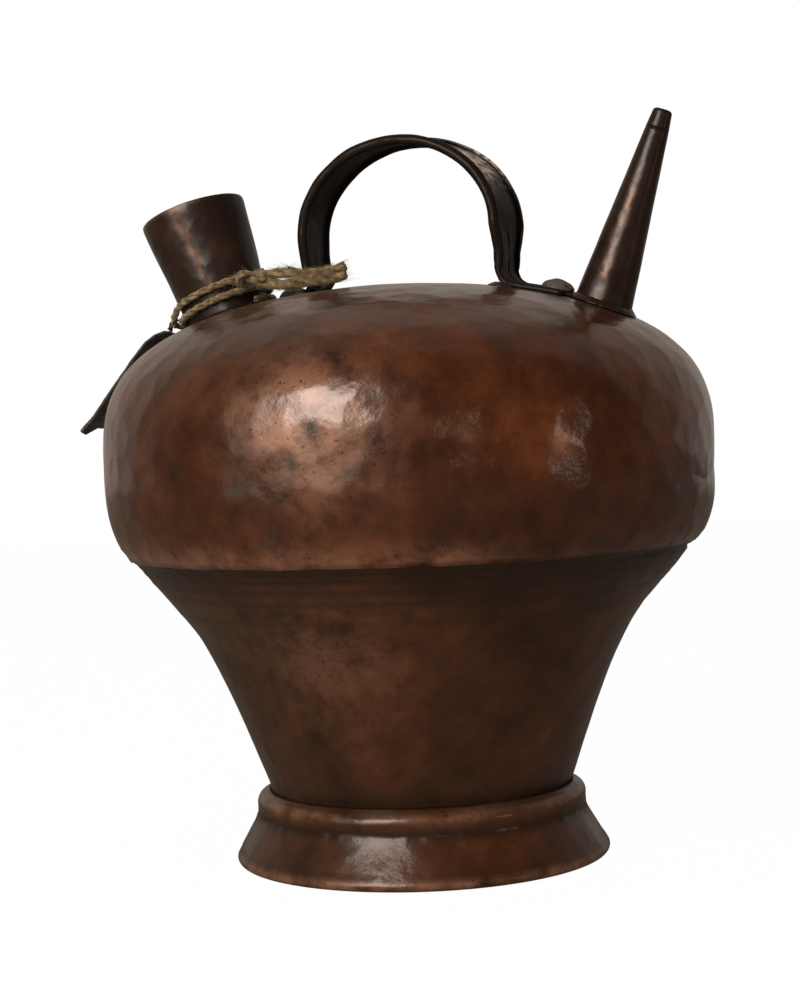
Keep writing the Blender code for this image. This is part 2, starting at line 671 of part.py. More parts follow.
def build_handle():
    strap = add_object("handle_strap", swept_strip(grip_section(), grip_path(), bent=True), DARK_COPPER)
    lift = FIT + HANDLE_FOOT_PLATE * HALF
    for name, side, end_x, _ in FEET:
        path = foot_path(side, end_x, lift)
        shape = swept_strip(foot_section(0), path)
        cut(strap, add_object(name + "_foot_shape", shape, DARK_COPPER, guide=True), "UNION")
    for name, _, _, rivet_x in FEET:
        cut(strap, rivet_hole_cutter(name + "_foot_hole_cutter", rivet_x))
    bead_y = HANDLE_WIDTH * HALF - HANDLE_BEAD_RADIUS
    for name, y in (("handle_edge_wire_front", -bead_y), ("handle_edge_wire_back", bead_y)):
        wire = swept_strip(wire_section((0, y), HANDLE_WIRE_RADIUS), grip_path()[1:-1], bent=True)
        add_object(name, wire, IRON)


def build_rivets():
    """A domed rivet through each foot of the handle, closed over a rove inside the shell."""
    above = FIT + HANDLE_FOOT_PLATE + FIT
    top = -SHEET - FIT * 2
    below = top - ROVE_THICKNESS - FIT
    hole = RIVET_SHANK_RADIUS + FIT
    for name, _, _, x in FEET:
        profile = [(RIVET_HEAD_RADIUS * r, above + RIVET_HEAD_HEIGHT * z)
                   for r, z in arc_points((0, 0), 1, 90, 0, BEND_STEPS)]
        profile[0] = (0, above + RIVET_HEAD_HEIGHT)
        profile += [(RIVET_SHANK_RADIUS, above), (RIVET_SHANK_RADIUS, below), (RIVET_TAIL_RADIUS, below),
                    (RIVET_TAIL_RADIUS * HALF, below - RIVET_TAIL_HEIGHT), (0, below - RIVET_TAIL_HEIGHT)]
        place = rivet_place(x)
        rivet = turned_mesh(profile, SMALL_SIDES, place, closed=False)
        add_object("handle_rivet_" + name, rivet, DARK_COPPER)
        under = top - ROVE_THICKNESS
        profile = [(hole, top), (ROVE_RADIUS, top), (ROVE_RADIUS, under), (hole, under)]
        add_object("rivet_rove_" + name, turned_mesh(profile, SMALL_SIDES, place), COPPER)


def build_handle_solder():
    """Lumps of solder where the edges of each foot of the handle bend onto the crown."""
    lift = FIT + HANDLE_FOOT_PLATE * HALF
    seat = seat_cutter("solder_seat_cutter", FIT)
    size = (HANDLE_SOLDER_LENGTH, HANDLE_SOLDER_WIDTH, HANDLE_SOLDER_HEIGHT, 1)
    for name, side, end_x, _ in FEET:
        strip = swept_strip(foot_section(FIT), foot_path(side, end_x, lift))
        clearance = add_object(name + "_foot_clearance_cutter", strip, COPPER, guide=True)
        for edge_name, edge in (("front", -1), ("back", 1)):
            bm = bmesh.new()
            bmesh.ops.create_uvsphere(bm, u_segments=SMALL_SIDES, v_segments=SMALL_SIDES // 2, radius=HALF)
            x = HANDLE_CENTRE_X + side * (leg_reach(CROWN_LEVEL) + HANDLE_BEND_RADIUS * HALF)
            y = edge * (HANDLE_FOOT_WIDTH * HALF + HANDLE_SOLDER_WIDTH * HALF * HALF)
            place = Matrix.Translation(Vector((x, y, crown_height(math.hypot(x, y)))))
            bmesh.ops.transform(bm, matrix=place @ Matrix.Diagonal(size), verts=bm.verts)
            lump_name = "handle_solder_" + name + "_" + edge_name
            lump = add_object(lump_name, bm, SOLDER_GREY, roughness=SOLDER_ROUGHNESS)
            cut(lump, seat)
            cut(lump, clearance)


def smooth_route(points, steps):
    """A Catmull-Rom curve through hand-set points, with a number of steps between each pair."""
    route = []
    knots = [Vector(point) for point in points]
    knots = [knots[0] * 2 - knots[1]] + knots + [knots[-1] * 2 - knots[-2]]
    for index in range(1, len(knots) - 2):
        a, b, c, d = knots[index - 1:index + 3]
        for step in range(steps):
            t = step / steps
            route.append(HALF * (2 * b + (c - a) * t + (2 * a - 5 * b + 4 * c - d) * t ** 2
                                 + (3 * b - a - 3 * c + d) * t ** 3))
    route.append(knots[-2])
    return route


def add_tube(name, points, radius, colour, resolution):
    """An unbroken round cord along points, with filled ends."""
    curve = bpy.data.curves.new(name, "CURVE")
    curve.dimensions = "3D"
    curve.bevel_depth = radius
    curve.bevel_resolution = resolution
    curve.use_fill_caps = True
    spline = curve.splines.new("POLY")
    spline.points.add(len(points) - 1)
    for target, point in zip(spline.points, points):
        target.co = (*point, 1)
    curve.materials.append(material(name, colour, 0.0, CORD_ROUGHNESS))
    made = bpy.data.objects.new(name, curve)
    bpy.context.collection.objects.link(made)
    return made


def least_gap(points, radius):
    """Least distance between two stretches of a cord that aren't neighbours along it."""
    travelled = [0.0]
    for before, after in zip(points, points[1:]):
        travelled.append(travelled[-1] + (after - before).length)
    least = None
    for index, point in enumerate(points):
        for other in range(index + 1, len(points)):
            if travelled[other] - travelled[index] > math.pi * radius * 2:
                gap = (points[other] - point).length - 2 * radius
                least = gap if least is None else min(least, gap)
    return least


def print_gap(name, points, radius):
    print(name, "least gap to itself, mm:", round(least_gap(points, radius) * PER_MILLIMETRE, 2))


def slack_share(travel):
    """How far the winding hangs loose, from zero to one at the place that holds the tag's loop."""
    off = abs(WINDING_START_ANGLE + 2 * math.pi * travel - math.pi)
    if off >= WINDING_BULGE_ANGLE:
        return 0
    return math.cos(HALF * math.pi * off / WINDING_BULGE_ANGLE) ** 2


def winding_point(travel):
    """A point on the winding after a number of turns; the angle runs from +X over the front."""
    angle = WINDING_START_ANGLE + 2 * math.pi * travel
    slack = slack_share(travel)
    along = WINDING_TOP - WINDING_PITCH * travel - WINDING_DIP * slack
    reach = neck_radius(along) + FIT * 2 + TWINE_RADIUS + WINDING_BULGE * slack
    return NECK_PLACE @ Vector((reach * math.cos(angle), -reach * math.sin(angle), along))


def loop_anchor():
    """The middle of the twine where the tag's loop hangs on it, on the joint's axis."""
    return winding_point((math.pi - WINDING_START_ANGLE) / (2 * math.pi))


def build_twine():
    count = LOOP_POINTS * WINDING_TURNS
    route = [winding_point(WINDING_TURNS * step / count) for step in range(count + 1)]
    print_gap("twine_winding", route, TWINE_RADIUS)
    add_tube("twine_winding", route, TWINE_RADIUS, JUTE, WOUND_RESOLUTION)
    route = []
    place = Matrix.Translation(Vector((KNOT_X, KNOT_Y, KNOT_Z))) @ Matrix.Rotation(-KNOT_TILT, 4, "Y")
    for step in range(KNOT_POINTS + 1):
        share = KNOT_OPENING_SHARE + (1 - 2 * KNOT_OPENING_SHARE) * step / KNOT_POINTS
        t = math.pi * (1 + 2 * share)
        flat = Vector((math.cos(t) - 2 * math.cos(2 * t), math.sin(t) + 2 * math.sin(2 * t), 0))
        flat *= KNOT_REACH / TREFOIL_REACH
        route.append(place @ (Vector((-flat.x, flat.y, 0)) + Vector((0, 0, -KNOT_DEPTH * math.sin(3 * t)))))
    print_gap("twine_knot", route, TWINE_RADIUS)
    add_tube("twine_knot", route, TWINE_RADIUS, JUTE, WOUND_RESOLUTION)
    add_tube("twine_tail_upper", smooth_route(UPPER_TAIL, TAIL_STEPS), TWINE_RADIUS, JUTE, CORD_RESOLUTION)
    add_tube("twine_tail_lower", smooth_route(LOWER_TAIL, TAIL_STEPS), TWINE_RADIUS, JUTE, CORD_RESOLUTION)


def stadium_point(share, half_width, length):
    """A point (across, down) on a long loop, from the middle of its outer leg over its top."""
    straight = length - 2 * half_width
    turn = math.pi * half_width
    travel = (share % 1) * (2 * straight + 2 * turn)
    if travel < straight * HALF:
        return half_width, length * HALF - travel
    travel -= straight * HALF
    if travel < turn:
        angle = travel / half_width
        return half_width * math.cos(angle), half_width - half_width * math.sin(angle)
    travel -= turn
    if travel < straight:
        return -half_width, half_width + travel
    travel -= straight
    if travel < turn:
        angle = travel / half_width
        return -half_width * math.cos(angle), length - half_width + half_width * math.sin(angle)
    travel -= turn
    return half_width, length - half_width - travel


def loop_point(share):
    """A point on the tag's loop, which lies across the joint's axis and laps itself a little."""
    top = TWINE_RADIUS + LOOP_PLAY + LOOP_CORD_RADIUS
    across, down = stadium_point(share, LOOP_HALF_WIDTH, LOOP_LENGTH + top)
    down -= top
    run = Vector((-math.cos(LOOP_SLOPE), 0, -math.sin(LOOP_SLOPE)))
    outward = Vector((-math.sin(LOOP_SLOPE), 0, math.cos(LOOP_SLOPE)))
    return loop_anchor() + run * down + outward * across + Vector((0, (share - HALF) * 2 * LOOP_SPLAY, 0))


def build_tag():
    count = LOOP_POINTS
    span = 1 + 2 * LOOP_LAP_SHARE
    route = [loop_point(span * step / count - LOOP_LAP_SHARE) for step in range(count + 1)]
    print_gap("tag_loop", route, LOOP_CORD_RADIUS)
    add_tube("tag_loop", route, LOOP_CORD_RADIUS, JUTE, WOUND_RESOLUTION)
    down = Vector((-math.cos(TAG_SLOPE), 0, -math.sin(TAG_SLOPE)))
    hole = loop_anchor() + Vector((-math.cos(LOOP_SLOPE), 0, -math.sin(LOOP_SLOPE))) * LOOP_LENGTH
    hole += down * TAG_HOLE_DROP
    hole.y += LOOP_SPLAY * HALF
    inward = Vector((math.sin(TAG_SLOPE), 0, -math.cos(TAG_SLOPE)))
    across = Vector((0, math.cos(TAG_TWIST), 0)) + inward * math.sin(TAG_TWIST)
    through = down.cross(across).normalized()
    width = TAG_WIDTH * HALF
    outline = [(TAG_HEAD_MARGIN * along, width * aside) for along, aside in TAG_HEAD_SHARES]
    outline += [(TAG_LENGTH * along, width * aside) for along, aside in TAG_TIP_SHARES]
    outline += [(TAG_HEAD_MARGIN * along, width * aside) for along, aside in TAG_FAR_HEAD_SHARES]
    bm = bmesh.new()
    lift = through * (TAG_THICKNESS * HALF)
    low = [bm.verts.new(hole + down * u + across * w - lift) for u, w in outline]
    high = [bm.verts.new(hole + down * u + across * w + lift) for u, w in outline]
    bm.faces.new(low)
    bm.faces.new(high[::-1])
    for index in range(len(outline)):
        after = (index + 1) % len(outline)
        bm.faces.new((low[index], low[after], high[after], high[index]))
    tag = add_object("hang_tag", bm, LEATHER, metallic=0.0, roughness=LEATHER_ROUGHNESS)
    turn = Matrix((across, down, through)).transposed().to_4x4()
    reach = OVERRUN * HALF
    profile = [(0, reach), (TAG_HOLE_RADIUS, reach), (TAG_HOLE_RADIUS, -reach), (0, -reach)]
    bm = turned_mesh(profile, SMALL_SIDES, Matrix.Translation(hole) @ turn, closed=False)
    cut(tag, add_object("tag_hole_cutter", bm, LEATHER, guide=True))
    print("tag joint at:", [round(value, 5) for value in loop_anchor()])


build_body()
build_foot()
build_neck_and_spout()
build_handle()
build_rivets()
build_solder()
build_handle_solder()
build_twine()
build_tag()
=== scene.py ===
"""An old copper water jug with a twine-tied tag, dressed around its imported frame."""
import random
from math import asin, atan2, ceil, copysign, cos, degrees, exp, hypot, pi, radians, remainder, sin

import bmesh
import bpy
from mathutils import Matrix, Vector, noise


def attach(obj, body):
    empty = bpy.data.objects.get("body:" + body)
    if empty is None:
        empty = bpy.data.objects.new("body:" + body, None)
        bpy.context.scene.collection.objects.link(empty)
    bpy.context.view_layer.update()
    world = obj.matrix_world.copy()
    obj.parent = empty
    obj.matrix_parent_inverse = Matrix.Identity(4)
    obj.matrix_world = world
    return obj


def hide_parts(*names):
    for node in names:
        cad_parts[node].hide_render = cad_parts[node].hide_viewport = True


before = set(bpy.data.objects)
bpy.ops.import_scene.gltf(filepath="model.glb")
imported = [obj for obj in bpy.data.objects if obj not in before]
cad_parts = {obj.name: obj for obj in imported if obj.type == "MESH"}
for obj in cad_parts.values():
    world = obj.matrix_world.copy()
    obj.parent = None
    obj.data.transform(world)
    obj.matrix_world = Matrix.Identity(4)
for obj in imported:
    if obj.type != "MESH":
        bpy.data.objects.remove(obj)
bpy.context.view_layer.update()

# Sizes that follow the part, in metres; TIP_ROUND and HANDLE_BEND_RADIUS are rounder than its own
SHEET = 0.0012
FIT = 0.0003
BELLY_RADIUS = 0.128
BELLY_LEVEL = 0.168
CROWN_LEVEL = 0.240
CROWN_POWER = 3
BELLY_POWER = 3
KINK_DRAW = 0.0057
KINK_LEVEL = 0.134
LIP_DRAW = 0.0039
LIP_LEVEL = 0.1285
KINK_RADIUS = BELLY_RADIUS - KINK_DRAW
LIP_RADIUS = KINK_RADIUS - LIP_DRAW
LAP_HEIGHT = 0.0035
WAIST_RADIUS = 0.0639
WAIST_LEVEL = 0.031
CUP_END_RADIUS = 0.0625
CUP_END_LEVEL = 0.017
CUP_STRAIGHT_SHARE = 0.66
CUP_POWER = 3.8
FOOT_RADIUS = 0.0789
FOOT_SHOULDER_RADIUS = 0.0695
FOOT_SHOULDER_LEVEL = 0.0245
FOOT_CREASE_RADIUS = 0.0690
FOOT_CREASE_LEVEL = 0.0200
FOOT_TOP_ROUND = 0.0045
FOOT_TOP_START_ANGLE = 75.0
FOOT_HEM_RADIUS = 0.0023
FOOT_HEM_WEAR = 0.00025
FOOT_HEM_START_ANGLE = 20.0
FOOT_HEM_END_ANGLE = -235.0
WIRE_RADIUS = 0.0008
NECK_ROOT_X = -0.0800
NECK_TILT = radians(18.0)
NECK_LENGTH = 0.0515
NECK_ROOT_RADIUS = 0.0179
NECK_RIM_RADIUS = 0.0233
NECK_HEM_HEIGHT = 0.0022
SPOUT_ROOT_X = 0.0868
SPOUT_TILT = radians(19.9)
SPOUT_LENGTH = 0.0735
SPOUT_ROOT_RADIUS = 0.0120
SPOUT_END_RADIUS = 0.0048
TIP_LENGTH = 0.0080
TIP_END_RADIUS = 0.0040
TIP_BORE_RADIUS = 0.0023
TIP_SPIGOT_LENGTH = 0.004
TIP_ROUND = 0.0016
HANDLE_CENTRE_X = 0.0036
HANDLE_HALF_SPAN = 0.0434
HANDLE_SPRING_LEVEL = 0.262
HANDLE_CROWN_LEVEL = 0.3002
HANDLE_LEG_PINCH = 0.0018
HANDLE_GRIP_END_LEVEL = 0.251
HANDLE_WIDTH = 0.030
HANDLE_FLARE = 0.065
HANDLE_SKEW = 0.032
HANDLE_LEG_NARROWING = 0.0018
HANDLE_BEAD_RADIUS = 0.0022
HANDLE_CURL_END = 290.0
HANDLE_PLATE = 0.0014
HANDLE_FOOT_PLATE = 0.0018
HANDLE_FOOT_LAP = 0.002
HANDLE_BEND_RADIUS = 0.0075
RIGHT_FOOT_END_X = 0.0732
LEFT_FOOT_END_X = -0.0565
RIGHT_RIVET_X = 0.0677
LEFT_RIVET_X = -0.0495
RIVET_SHANK_RADIUS = 0.0016
RIVET_HEAD_RADIUS = 0.0061
RIVET_HEAD_HEIGHT = 0.0030
RIVET_TAIL_RADIUS = 0.0030
RIVET_TAIL_HEIGHT = 0.0014
ROVE_THICKNESS = 0.0010
NECK_SOLDER = 0.0030
SPOUT_SOLDER = 0.0022

# The twine's route, repeated from the part
TWINE_RADIUS = 0.00145
WINDING_START_ANGLE = radians(28.0)
WINDING_TURNS = 2
WINDING_TOP = 0.0138
WINDING_PITCH = 0.0053
WINDING_BULGE = 0.0047
WINDING_DIP = 0.0035
WINDING_BULGE_ANGLE = radians(42.0)
KNOT_PLACE = Vector((-0.0608, -0.0195, 0.2463))
KNOT_REACH = 0.0064
KNOT_DEPTH = 0.0031
KNOT_TILT = radians(24.0)
KNOT_OPENING_SHARE = 0.05
TREFOIL_REACH = 3.0
TAIL_X = (-0.0531, -0.0485, -0.0430, -0.0375, -0.0320, -0.0255, -0.0180)
UPPER_TAIL = tuple(zip(TAIL_X, (-0.0196, -0.0200, -0.0203, -0.0202, -0.0198, -0.0193, -0.0189),
                       (0.2476, 0.2490, 0.2498, 0.2492, 0.2489, 0.2490, 0.2494)))
LOWER_TAIL = tuple(zip(TAIL_X, (-0.0198, -0.0205, -0.0208, -0.0204, -0.0198, -0.0192, -0.0187),
                       (0.2443, 0.2440, 0.2446, 0.2454, 0.2457, 0.2457, 0.2460)))
LOOP_CORD_RADIUS = 0.0008
LOOP_PLAY = 0.0005
LOOP_HALF_WIDTH = 0.0029
LOOP_LENGTH = 0.0062
LOOP_SLOPE = radians(67.0)
LOOP_SPLAY = 0.0011
LOOP_LAP_SHARE = 0.04


# Outlines
def between(start, end, count):
    """Evenly spaced values from start to end, with both of them."""
    return [start + (end - start) * step / count for step in range(count + 1)]


def circle(sides):
    return [2 * pi * side / sides for side in range(sides)]


def polar(radius, angle, height):
    return Vector((radius * cos(angle), radius * sin(angle), height))


def run_at(route, index):
    """Unit vector along a route at one of its points."""
    return (route[min(index + 1, len(route) - 1)] - route[max(index - 1, 0)]).normalized()


def crown_height(radius):
    share = min(radius / BELLY_RADIUS, 1)
    return BELLY_LEVEL + (CROWN_LEVEL - BELLY_LEVEL) * (1 - share ** 2) ** (1 / CROWN_POWER)


def crown_slope(x):
    return atan2(crown_height(abs(x) - SHEET) - crown_height(abs(x) + SHEET), 2 * SHEET)


def belly_radius(height):
    share = (BELLY_LEVEL - height) / (BELLY_LEVEL - KINK_LEVEL)
    return BELLY_RADIUS - KINK_DRAW * share ** BELLY_POWER


def cup_radius(height):
    share = (height - WAIST_LEVEL) / (LIP_LEVEL - WAIST_LEVEL)
    bend = CUP_STRAIGHT_SHARE * share + (1 - CUP_STRAIGHT_SHARE) * share ** CUP_POWER
    return WAIST_RADIUS + (LIP_RADIUS - SHEET - FIT - WAIST_RADIUS) * bend


def resample(points, step):
    """Points along an open outline at an even spacing, with its two ends kept."""
    points = [Vector(point) for point in points]
    travelled = [0.0]
    for before, after in zip(points, points[1:]):
        travelled.append(travelled[-1] + (after - before).length)
    count = max(round(travelled[-1] / step), 1)
    result, at = [], 0
    for index in range(count + 1):
        goal = travelled[-1] * index / count
        while at < len(points) - 2 and travelled[at + 1] < goal:
            at += 1
        span = travelled[at + 1] - travelled[at]
        result.append(points[at].lerp(points[at + 1], (goal - travelled[at]) / span if span else 0))
    return result


def refine(loop, step):
    """A closed outline with its long sides divided, its corners kept."""
    result = []
    for index, point in enumerate(loop):
        point, after = Vector(point), Vector(loop[(index + 1) % len(loop)])
        pieces = max(ceil((after - point).length / step), 1)
        result += [point.lerp(after, piece / pieces) for piece in range(pieces)]
    return result


def offset_profile(points, distance):
    moved = []
    for index, (radius, height) in enumerate(points):
        before, after = points[max(index - 1, 0)], points[min(index + 1, len(points) - 1)]
        run = Vector((after[0] - before[0], after[1] - before[1])).normalized()
        moved.append((max(radius - run.y * distance, 0), height + run.x * distance))
    return moved


def arc_points(centre, radius, start, end, steps):
    return [(centre[0] + radius * cos(radians(turn)), centre[1] + radius * sin(radians(turn)))
            for turn in between(start, end, steps)]


def tilted_place(root_x, tilt):
    root = Vector((root_x, 0, crown_height(abs(root_x))))
    return Matrix.Translation(root) @ Matrix.Rotation(tilt, 4, "Y")


NECK_PLACE = tilted_place(NECK_ROOT_X, -NECK_TILT)
SPOUT_PLACE = tilted_place(SPOUT_ROOT_X, SPOUT_TILT)


def neck_radius(along):
    return NECK_ROOT_RADIUS + (NECK_RIM_RADIUS - NECK_ROOT_RADIUS) * along / NECK_LENGTH


def spout_radius(along):
    return SPOUT_ROOT_RADIUS + (SPOUT_END_RADIUS - SPOUT_ROOT_RADIUS) * along / SPOUT_LENGTH


# Camera, at the photograph's angle
CAMERA_LENS = 72.0
CAMERA_SENSOR = 36.0
CAMERA_NEAR = 0.01
CAMERA_PLACE = Vector((-0.0045, -0.8463, 0.1757))
CAMERA_PITCH = radians(1.765)
CAMERA_ROLL = radians(-2.213)
CAMERA_YAW = radians(21.0)


def new_object(name, data):
    made = bpy.data.objects.new(name, data)
    bpy.context.collection.objects.link(made)
    return made


def build_camera():
    forward = Vector((0, cos(CAMERA_PITCH), -sin(CAMERA_PITCH)))
    right = Vector((1, 0, 0))
    up = right.cross(forward)
    turn, lean = cos(CAMERA_ROLL), sin(CAMERA_ROLL)
    right, up = turn * right + lean * up, -lean * right + turn * up
    yaw = Matrix.Rotation(CAMERA_YAW, 3, "Z")
    right, up, forward, place = yaw @ right, yaw @ up, yaw @ forward, yaw @ CAMERA_PLACE
    data = bpy.data.cameras.new("camera")
    data.lens, data.sensor_width, data.clip_start = CAMERA_LENS, CAMERA_SENSOR, CAMERA_NEAR
    camera = new_object("camera", data)
    camera.matrix_world = Matrix.Translation(place) @ Matrix((right, up, -forward)).transposed().to_4x4()
    bpy.context.scene.camera = camera


build_camera()


# Mesh helpers
MERGE_DISTANCE = 1e-6


def object_from(bm, name):
    """An object with the shape of a bmesh, which is freed."""
    mesh = bpy.data.meshes.new(name)
    bm.to_mesh(mesh)
    bm.free()
    return new_object(name, mesh)


def evaluated_mesh(piece):
    """An object's mesh as its modifiers leave it."""
    bpy.context.view_layer.update()
    return bpy.data.meshes.new_from_object(piece.evaluated_get(bpy.context.evaluated_depsgraph_get()))


def add_piece(name, bm, material, node_name=None, body="jug"):
    """Makes a smooth-shaded piece that rides on a body and may stand for a CAD node."""
    bmesh.ops.recalc_face_normals(bm, faces=bm.faces)
    for face in bm.faces:
        face.smooth = True
    piece = object_from(bm, name)
    piece.data.materials.append(material)
    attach(piece, body)
    if node_name:
        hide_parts(node_name)
    return piece


def skin(rings, closed_ends=False, bm=None):
    """Quads that join closed rings of points in order, in a new bmesh or a given one."""
    if bm is None:
        bm = bmesh.new()
    made = [[bm.verts.new(point) for point in ring] for ring in rings]
    for ring, following in zip(made, made[1:]):
        for corner in range(len(ring)):
            after = (corner + 1) % len(ring)
            bm.faces.new((ring[corner], ring[after], following[after], following[corner]))
    if closed_ends:
        bm.faces.new(made[0])
        bm.faces.new(made[-1][::-1])
    return bm


def closed_skin(rings):
    """A skin from the first ring to the last and back to the first; points that fall together are joined."""
    bm = skin(rings + [rings[0]])
    bmesh.ops.remove_doubles(bm, verts=bm.verts, dist=MERGE_DISTANCE)
    return bm


def lathe(profile, sides, place=Matrix()):
    """Revolves a closed (radius, height) profile; points on the axis are joined."""
    angles = circle(sides)
    return closed_skin([[place @ polar(radius, angle, height) for angle in angles] for radius, height in profile])


def work_surface(bm, bump):
    """Moves every vertex along its normal by bump(point), like hammer and wear would."""
    bm.normal_update()
    moves = [(vert, vert.normal.copy() * bump(vert.co)) for vert in bm.verts]
    for vert, move in moves:
        vert.co += move


def hammer(point, cell, depth):
    """Shallow round hammer marks with soft ridges between them."""
    nearest = noise.voronoi(point / cell)[0][0]
    return depth * (min(nearest, 1) ** 2 - 0.25)


def waver(point, size, depth):
    return depth * noise.noise(point / size)


def mark(piece, **shades):
    """Stores shades for the material, each worked out from a vertex's place."""
    for name, value_at in shades.items():
        layer = piece.data.attributes.new(name, "FLOAT", "POINT")
        layer.data.foreach_set("value", [min(max(value_at(vert.co), 0), 1) for vert in piece.data.vertices])


def glow(distance, width):
    return exp(-(distance / width) ** 2)


def fade(value, low, high):
    """A smooth step from zero at low to one at high."""
    share = min(max((value - low) / (high - low), 0), 1)
    return share * share * (3 - 2 * share)


def patch(point, size, lift=0.0, contrast=1.0):
    """Noise with its low side cut off, for a mark that comes and goes."""
    return max(noise.noise(point / size) * contrast + lift, 0)


def spots(point, table):
    """Soft round spots, each a strength, a width and a centre."""
    return sum(strength * glow((point - Vector(centre)).length, width) for strength, width, centre in table)


# Material helpers
def with_tree(owner):
    """A material or a world, and its emptied node tree."""
    owner.use_nodes = True
    owner.node_tree.nodes.clear()
    return owner, owner.node_tree


def node(kind, inputs=None, tree=None, **settings):
    """Adds a node; an input takes a value or another node's output, whose tree the new node joins."""
    inputs = inputs or {}
    linked = {key: value for key, value in inputs.items() if isinstance(value, bpy.types.NodeSocket)}
    tree = tree or next(iter(linked.values())).id_data
    made = tree.nodes.new("ShaderNode" + kind)
    for key, value in settings.items():
        setattr(made, key, value)
    for key, value in inputs.items():
        if key in linked:
            tree.links.new(value, made.inputs[key])
        else:
            made.inputs[key].default_value = value
    return made


def place_of(tree, scale=(1, 1, 1)):
    coords = node("TexCoord", tree=tree).outputs["Object"]
    return node("Mapping", {"Vector": coords, "Scale": scale}).outputs["Vector"]


def grain(vector, scale, detail=4.0, roughness=0.55, distortion=0.0):
    return node("TexNoise", {"Vector": vector, "Scale": scale, "Detail": detail, "Roughness": roughness,
                                   "Distortion": distortion}).outputs["Fac"]


def span(value, low, high, start=0.0, end=1.0):
    return node("MapRange", {"Value": value, "From Min": low, "From Max": high, "To Min": start,
                                   "To Max": end}).outputs["Result"]


def calc(kind, first, second):
    return node("Math", {0: first, 1: second}, operation=kind).outputs[0]


def times(first, second):
    return calc("MULTIPLY", first, second)


def tint(share, first, second, kind="MIX"):
    """Mixes two colours, each a value or an output."""
    return node("Mix", {0: share, 6: first, 7: second}, data_type="RGBA", blend_type=kind).outputs[2]


def shade(value, stops):
    """A colour ramp over (place, (red, green, blue)) stops."""
    made = node("ValToRGB", {"Fac": value})
    ramp = made.color_ramp
    for index, (place, colour) in enumerate(stops):
        stop = ramp.elements[index] if index < 2 else ramp.elements.new(place)
        stop.position = place
        stop.color = rgb(*colour)
    return made.outputs["Color"]


def attribute(tree, name):
    return node("Attribute", tree=tree, attribute_name=name).outputs["Fac"]


def bump(height, strength, distance, under=None):
    inputs = {"Height": height, "Strength": strength, "Distance": distance}
    if under:
        inputs["Normal"] = under
    return node("Bump", inputs).outputs["Normal"]


def rgb(red, green, blue):
    """A colour given as it shows, from 0 to 255, as linear values and full alpha."""
    return (*(((c / 255 + 0.055) / 1.055) ** 2.4 for c in (red, green, blue)), 1)


def principled(inputs):
    """A surface from a principled shader with these inputs."""
    node("OutputMaterial", {"Surface": node("BsdfPrincipled", inputs).outputs["BSDF"]})


def copper_material(name, tones, rough, hammer_cell, hammer_depth, coat, gloss=0.20, bare_and_highlight=(142, 100, 78)):
    """Patinated copper: four tones from dark to bright, with dirt and painted shade, wear and painted highlights,
    and bloom from the pieces' marks.
    """
    material, tree = with_tree(bpy.data.materials.new(name))
    at = place_of(tree)
    big = grain(at, 13.0, 5.0, 0.6, 0.4)
    small = grain(at, 75.0, 6.0, 0.65)
    speck = grain(at, 900.0, 3.0)
    mixed = calc("ADD", times(big, 0.6), times(small, 0.4))
    colour = shade(mixed, zip((0.34, 0.46, 0.56, 0.70), tones))
    side = span(node("SeparateXYZ", {"Vector": at}).outputs["X"], -0.10, 0.12)
    colour = tint(side, colour, tint(1.0, colour, (1.0, 0.80, 0.78, 1), "MULTIPLY"))
    colour = tint(span(speck, 0.60, 0.75, 0.0, 0.35), colour, rgb(34, 20, 12))
    pits = span(grain(at, 640.0, 3.0, 0.5), 0.30, 0.38)
    # Wear and painted highlights: the marked places take a pale colour for exposed copper, which also paints
    # highlights and glints
    wear_and_highlight_share = times(times(attribute(tree, "worn"), span(small, 0.32, 0.58)), pits)
    colour = tint(wear_and_highlight_share, colour, rgb(*bare_and_highlight))
    # Dirt and painted shade: the marked places darken towards a dark brown, as shade under the lip, in creases and
    # round the roots
    grime_and_shade_share = times(attribute(tree, "grime"), span(small, 0.3, 0.55, 0.5, 1.0))
    colour = tint(grime_and_shade_share, colour, rgb(30, 19, 13))
    bloom = times(attribute(tree, "bloom"), span(grain(at, 320.0), 0.45, 0.6))
    colour = tint(bloom, colour, rgb(50, 47, 42))
    roughness = span(small, 0.3, 0.7, *rough)
    roughness = calc("ADD", roughness, times(calc("ADD", grime_and_shade_share, bloom), 0.25))
    cells = node("TexVoronoi", {"Vector": at, "Scale": 1 / hammer_cell, "Smoothness": 0.5},
                 feature="SMOOTH_F1").outputs["Distance"]
    relief = bump(calc("POWER", cells, 2.0), 0.8, hammer_depth)
    relief = bump(grain(at, 95.0, 4.0, 0.55), 0.5, hammer_depth * 0.6, relief)
    worked = bump(grain(at, 420.0, 4.0, 0.6), 0.45, 0.00022, relief)
    relief = bump(grain(at, 260.0, 5.0, 0.6), 0.35, 0.0004, relief)
    scratches = grain(place_of(tree, (900.0, 900.0, 90.0)), 1.0, 2.0)
    relief = bump(scratches, 0.3, 0.00012, relief)
    principled({
        "Base Color": colour, "Roughness": roughness, "Normal": relief, "Coat Normal": worked, "Metallic": 0.22,
        "Coat Weight": coat, "Coat Roughness": gloss, "Specular IOR Level": 0.06})
    return material


def plain_material(name, stops, scale, rough, metallic=0.0, relief_depth=0.0003, sheen=0.0):
    """A grainy material of a few tones, for fibre, leather, solder and iron."""
    material, tree = with_tree(bpy.data.materials.new(name))
    at = place_of(tree)
    base = grain(at, scale, 6.0, 0.6)
    fine = grain(at, scale * 6, 4.0)
    principled({
        "Base Color": shade(base, stops), "Roughness": span(fine, 0.3, 0.7, *rough),
        "Normal": bump(fine, 0.6, relief_depth, bump(base, 0.5, relief_depth * 2)),
        "Metallic": metallic, "Sheen Weight": sheen})
    return material


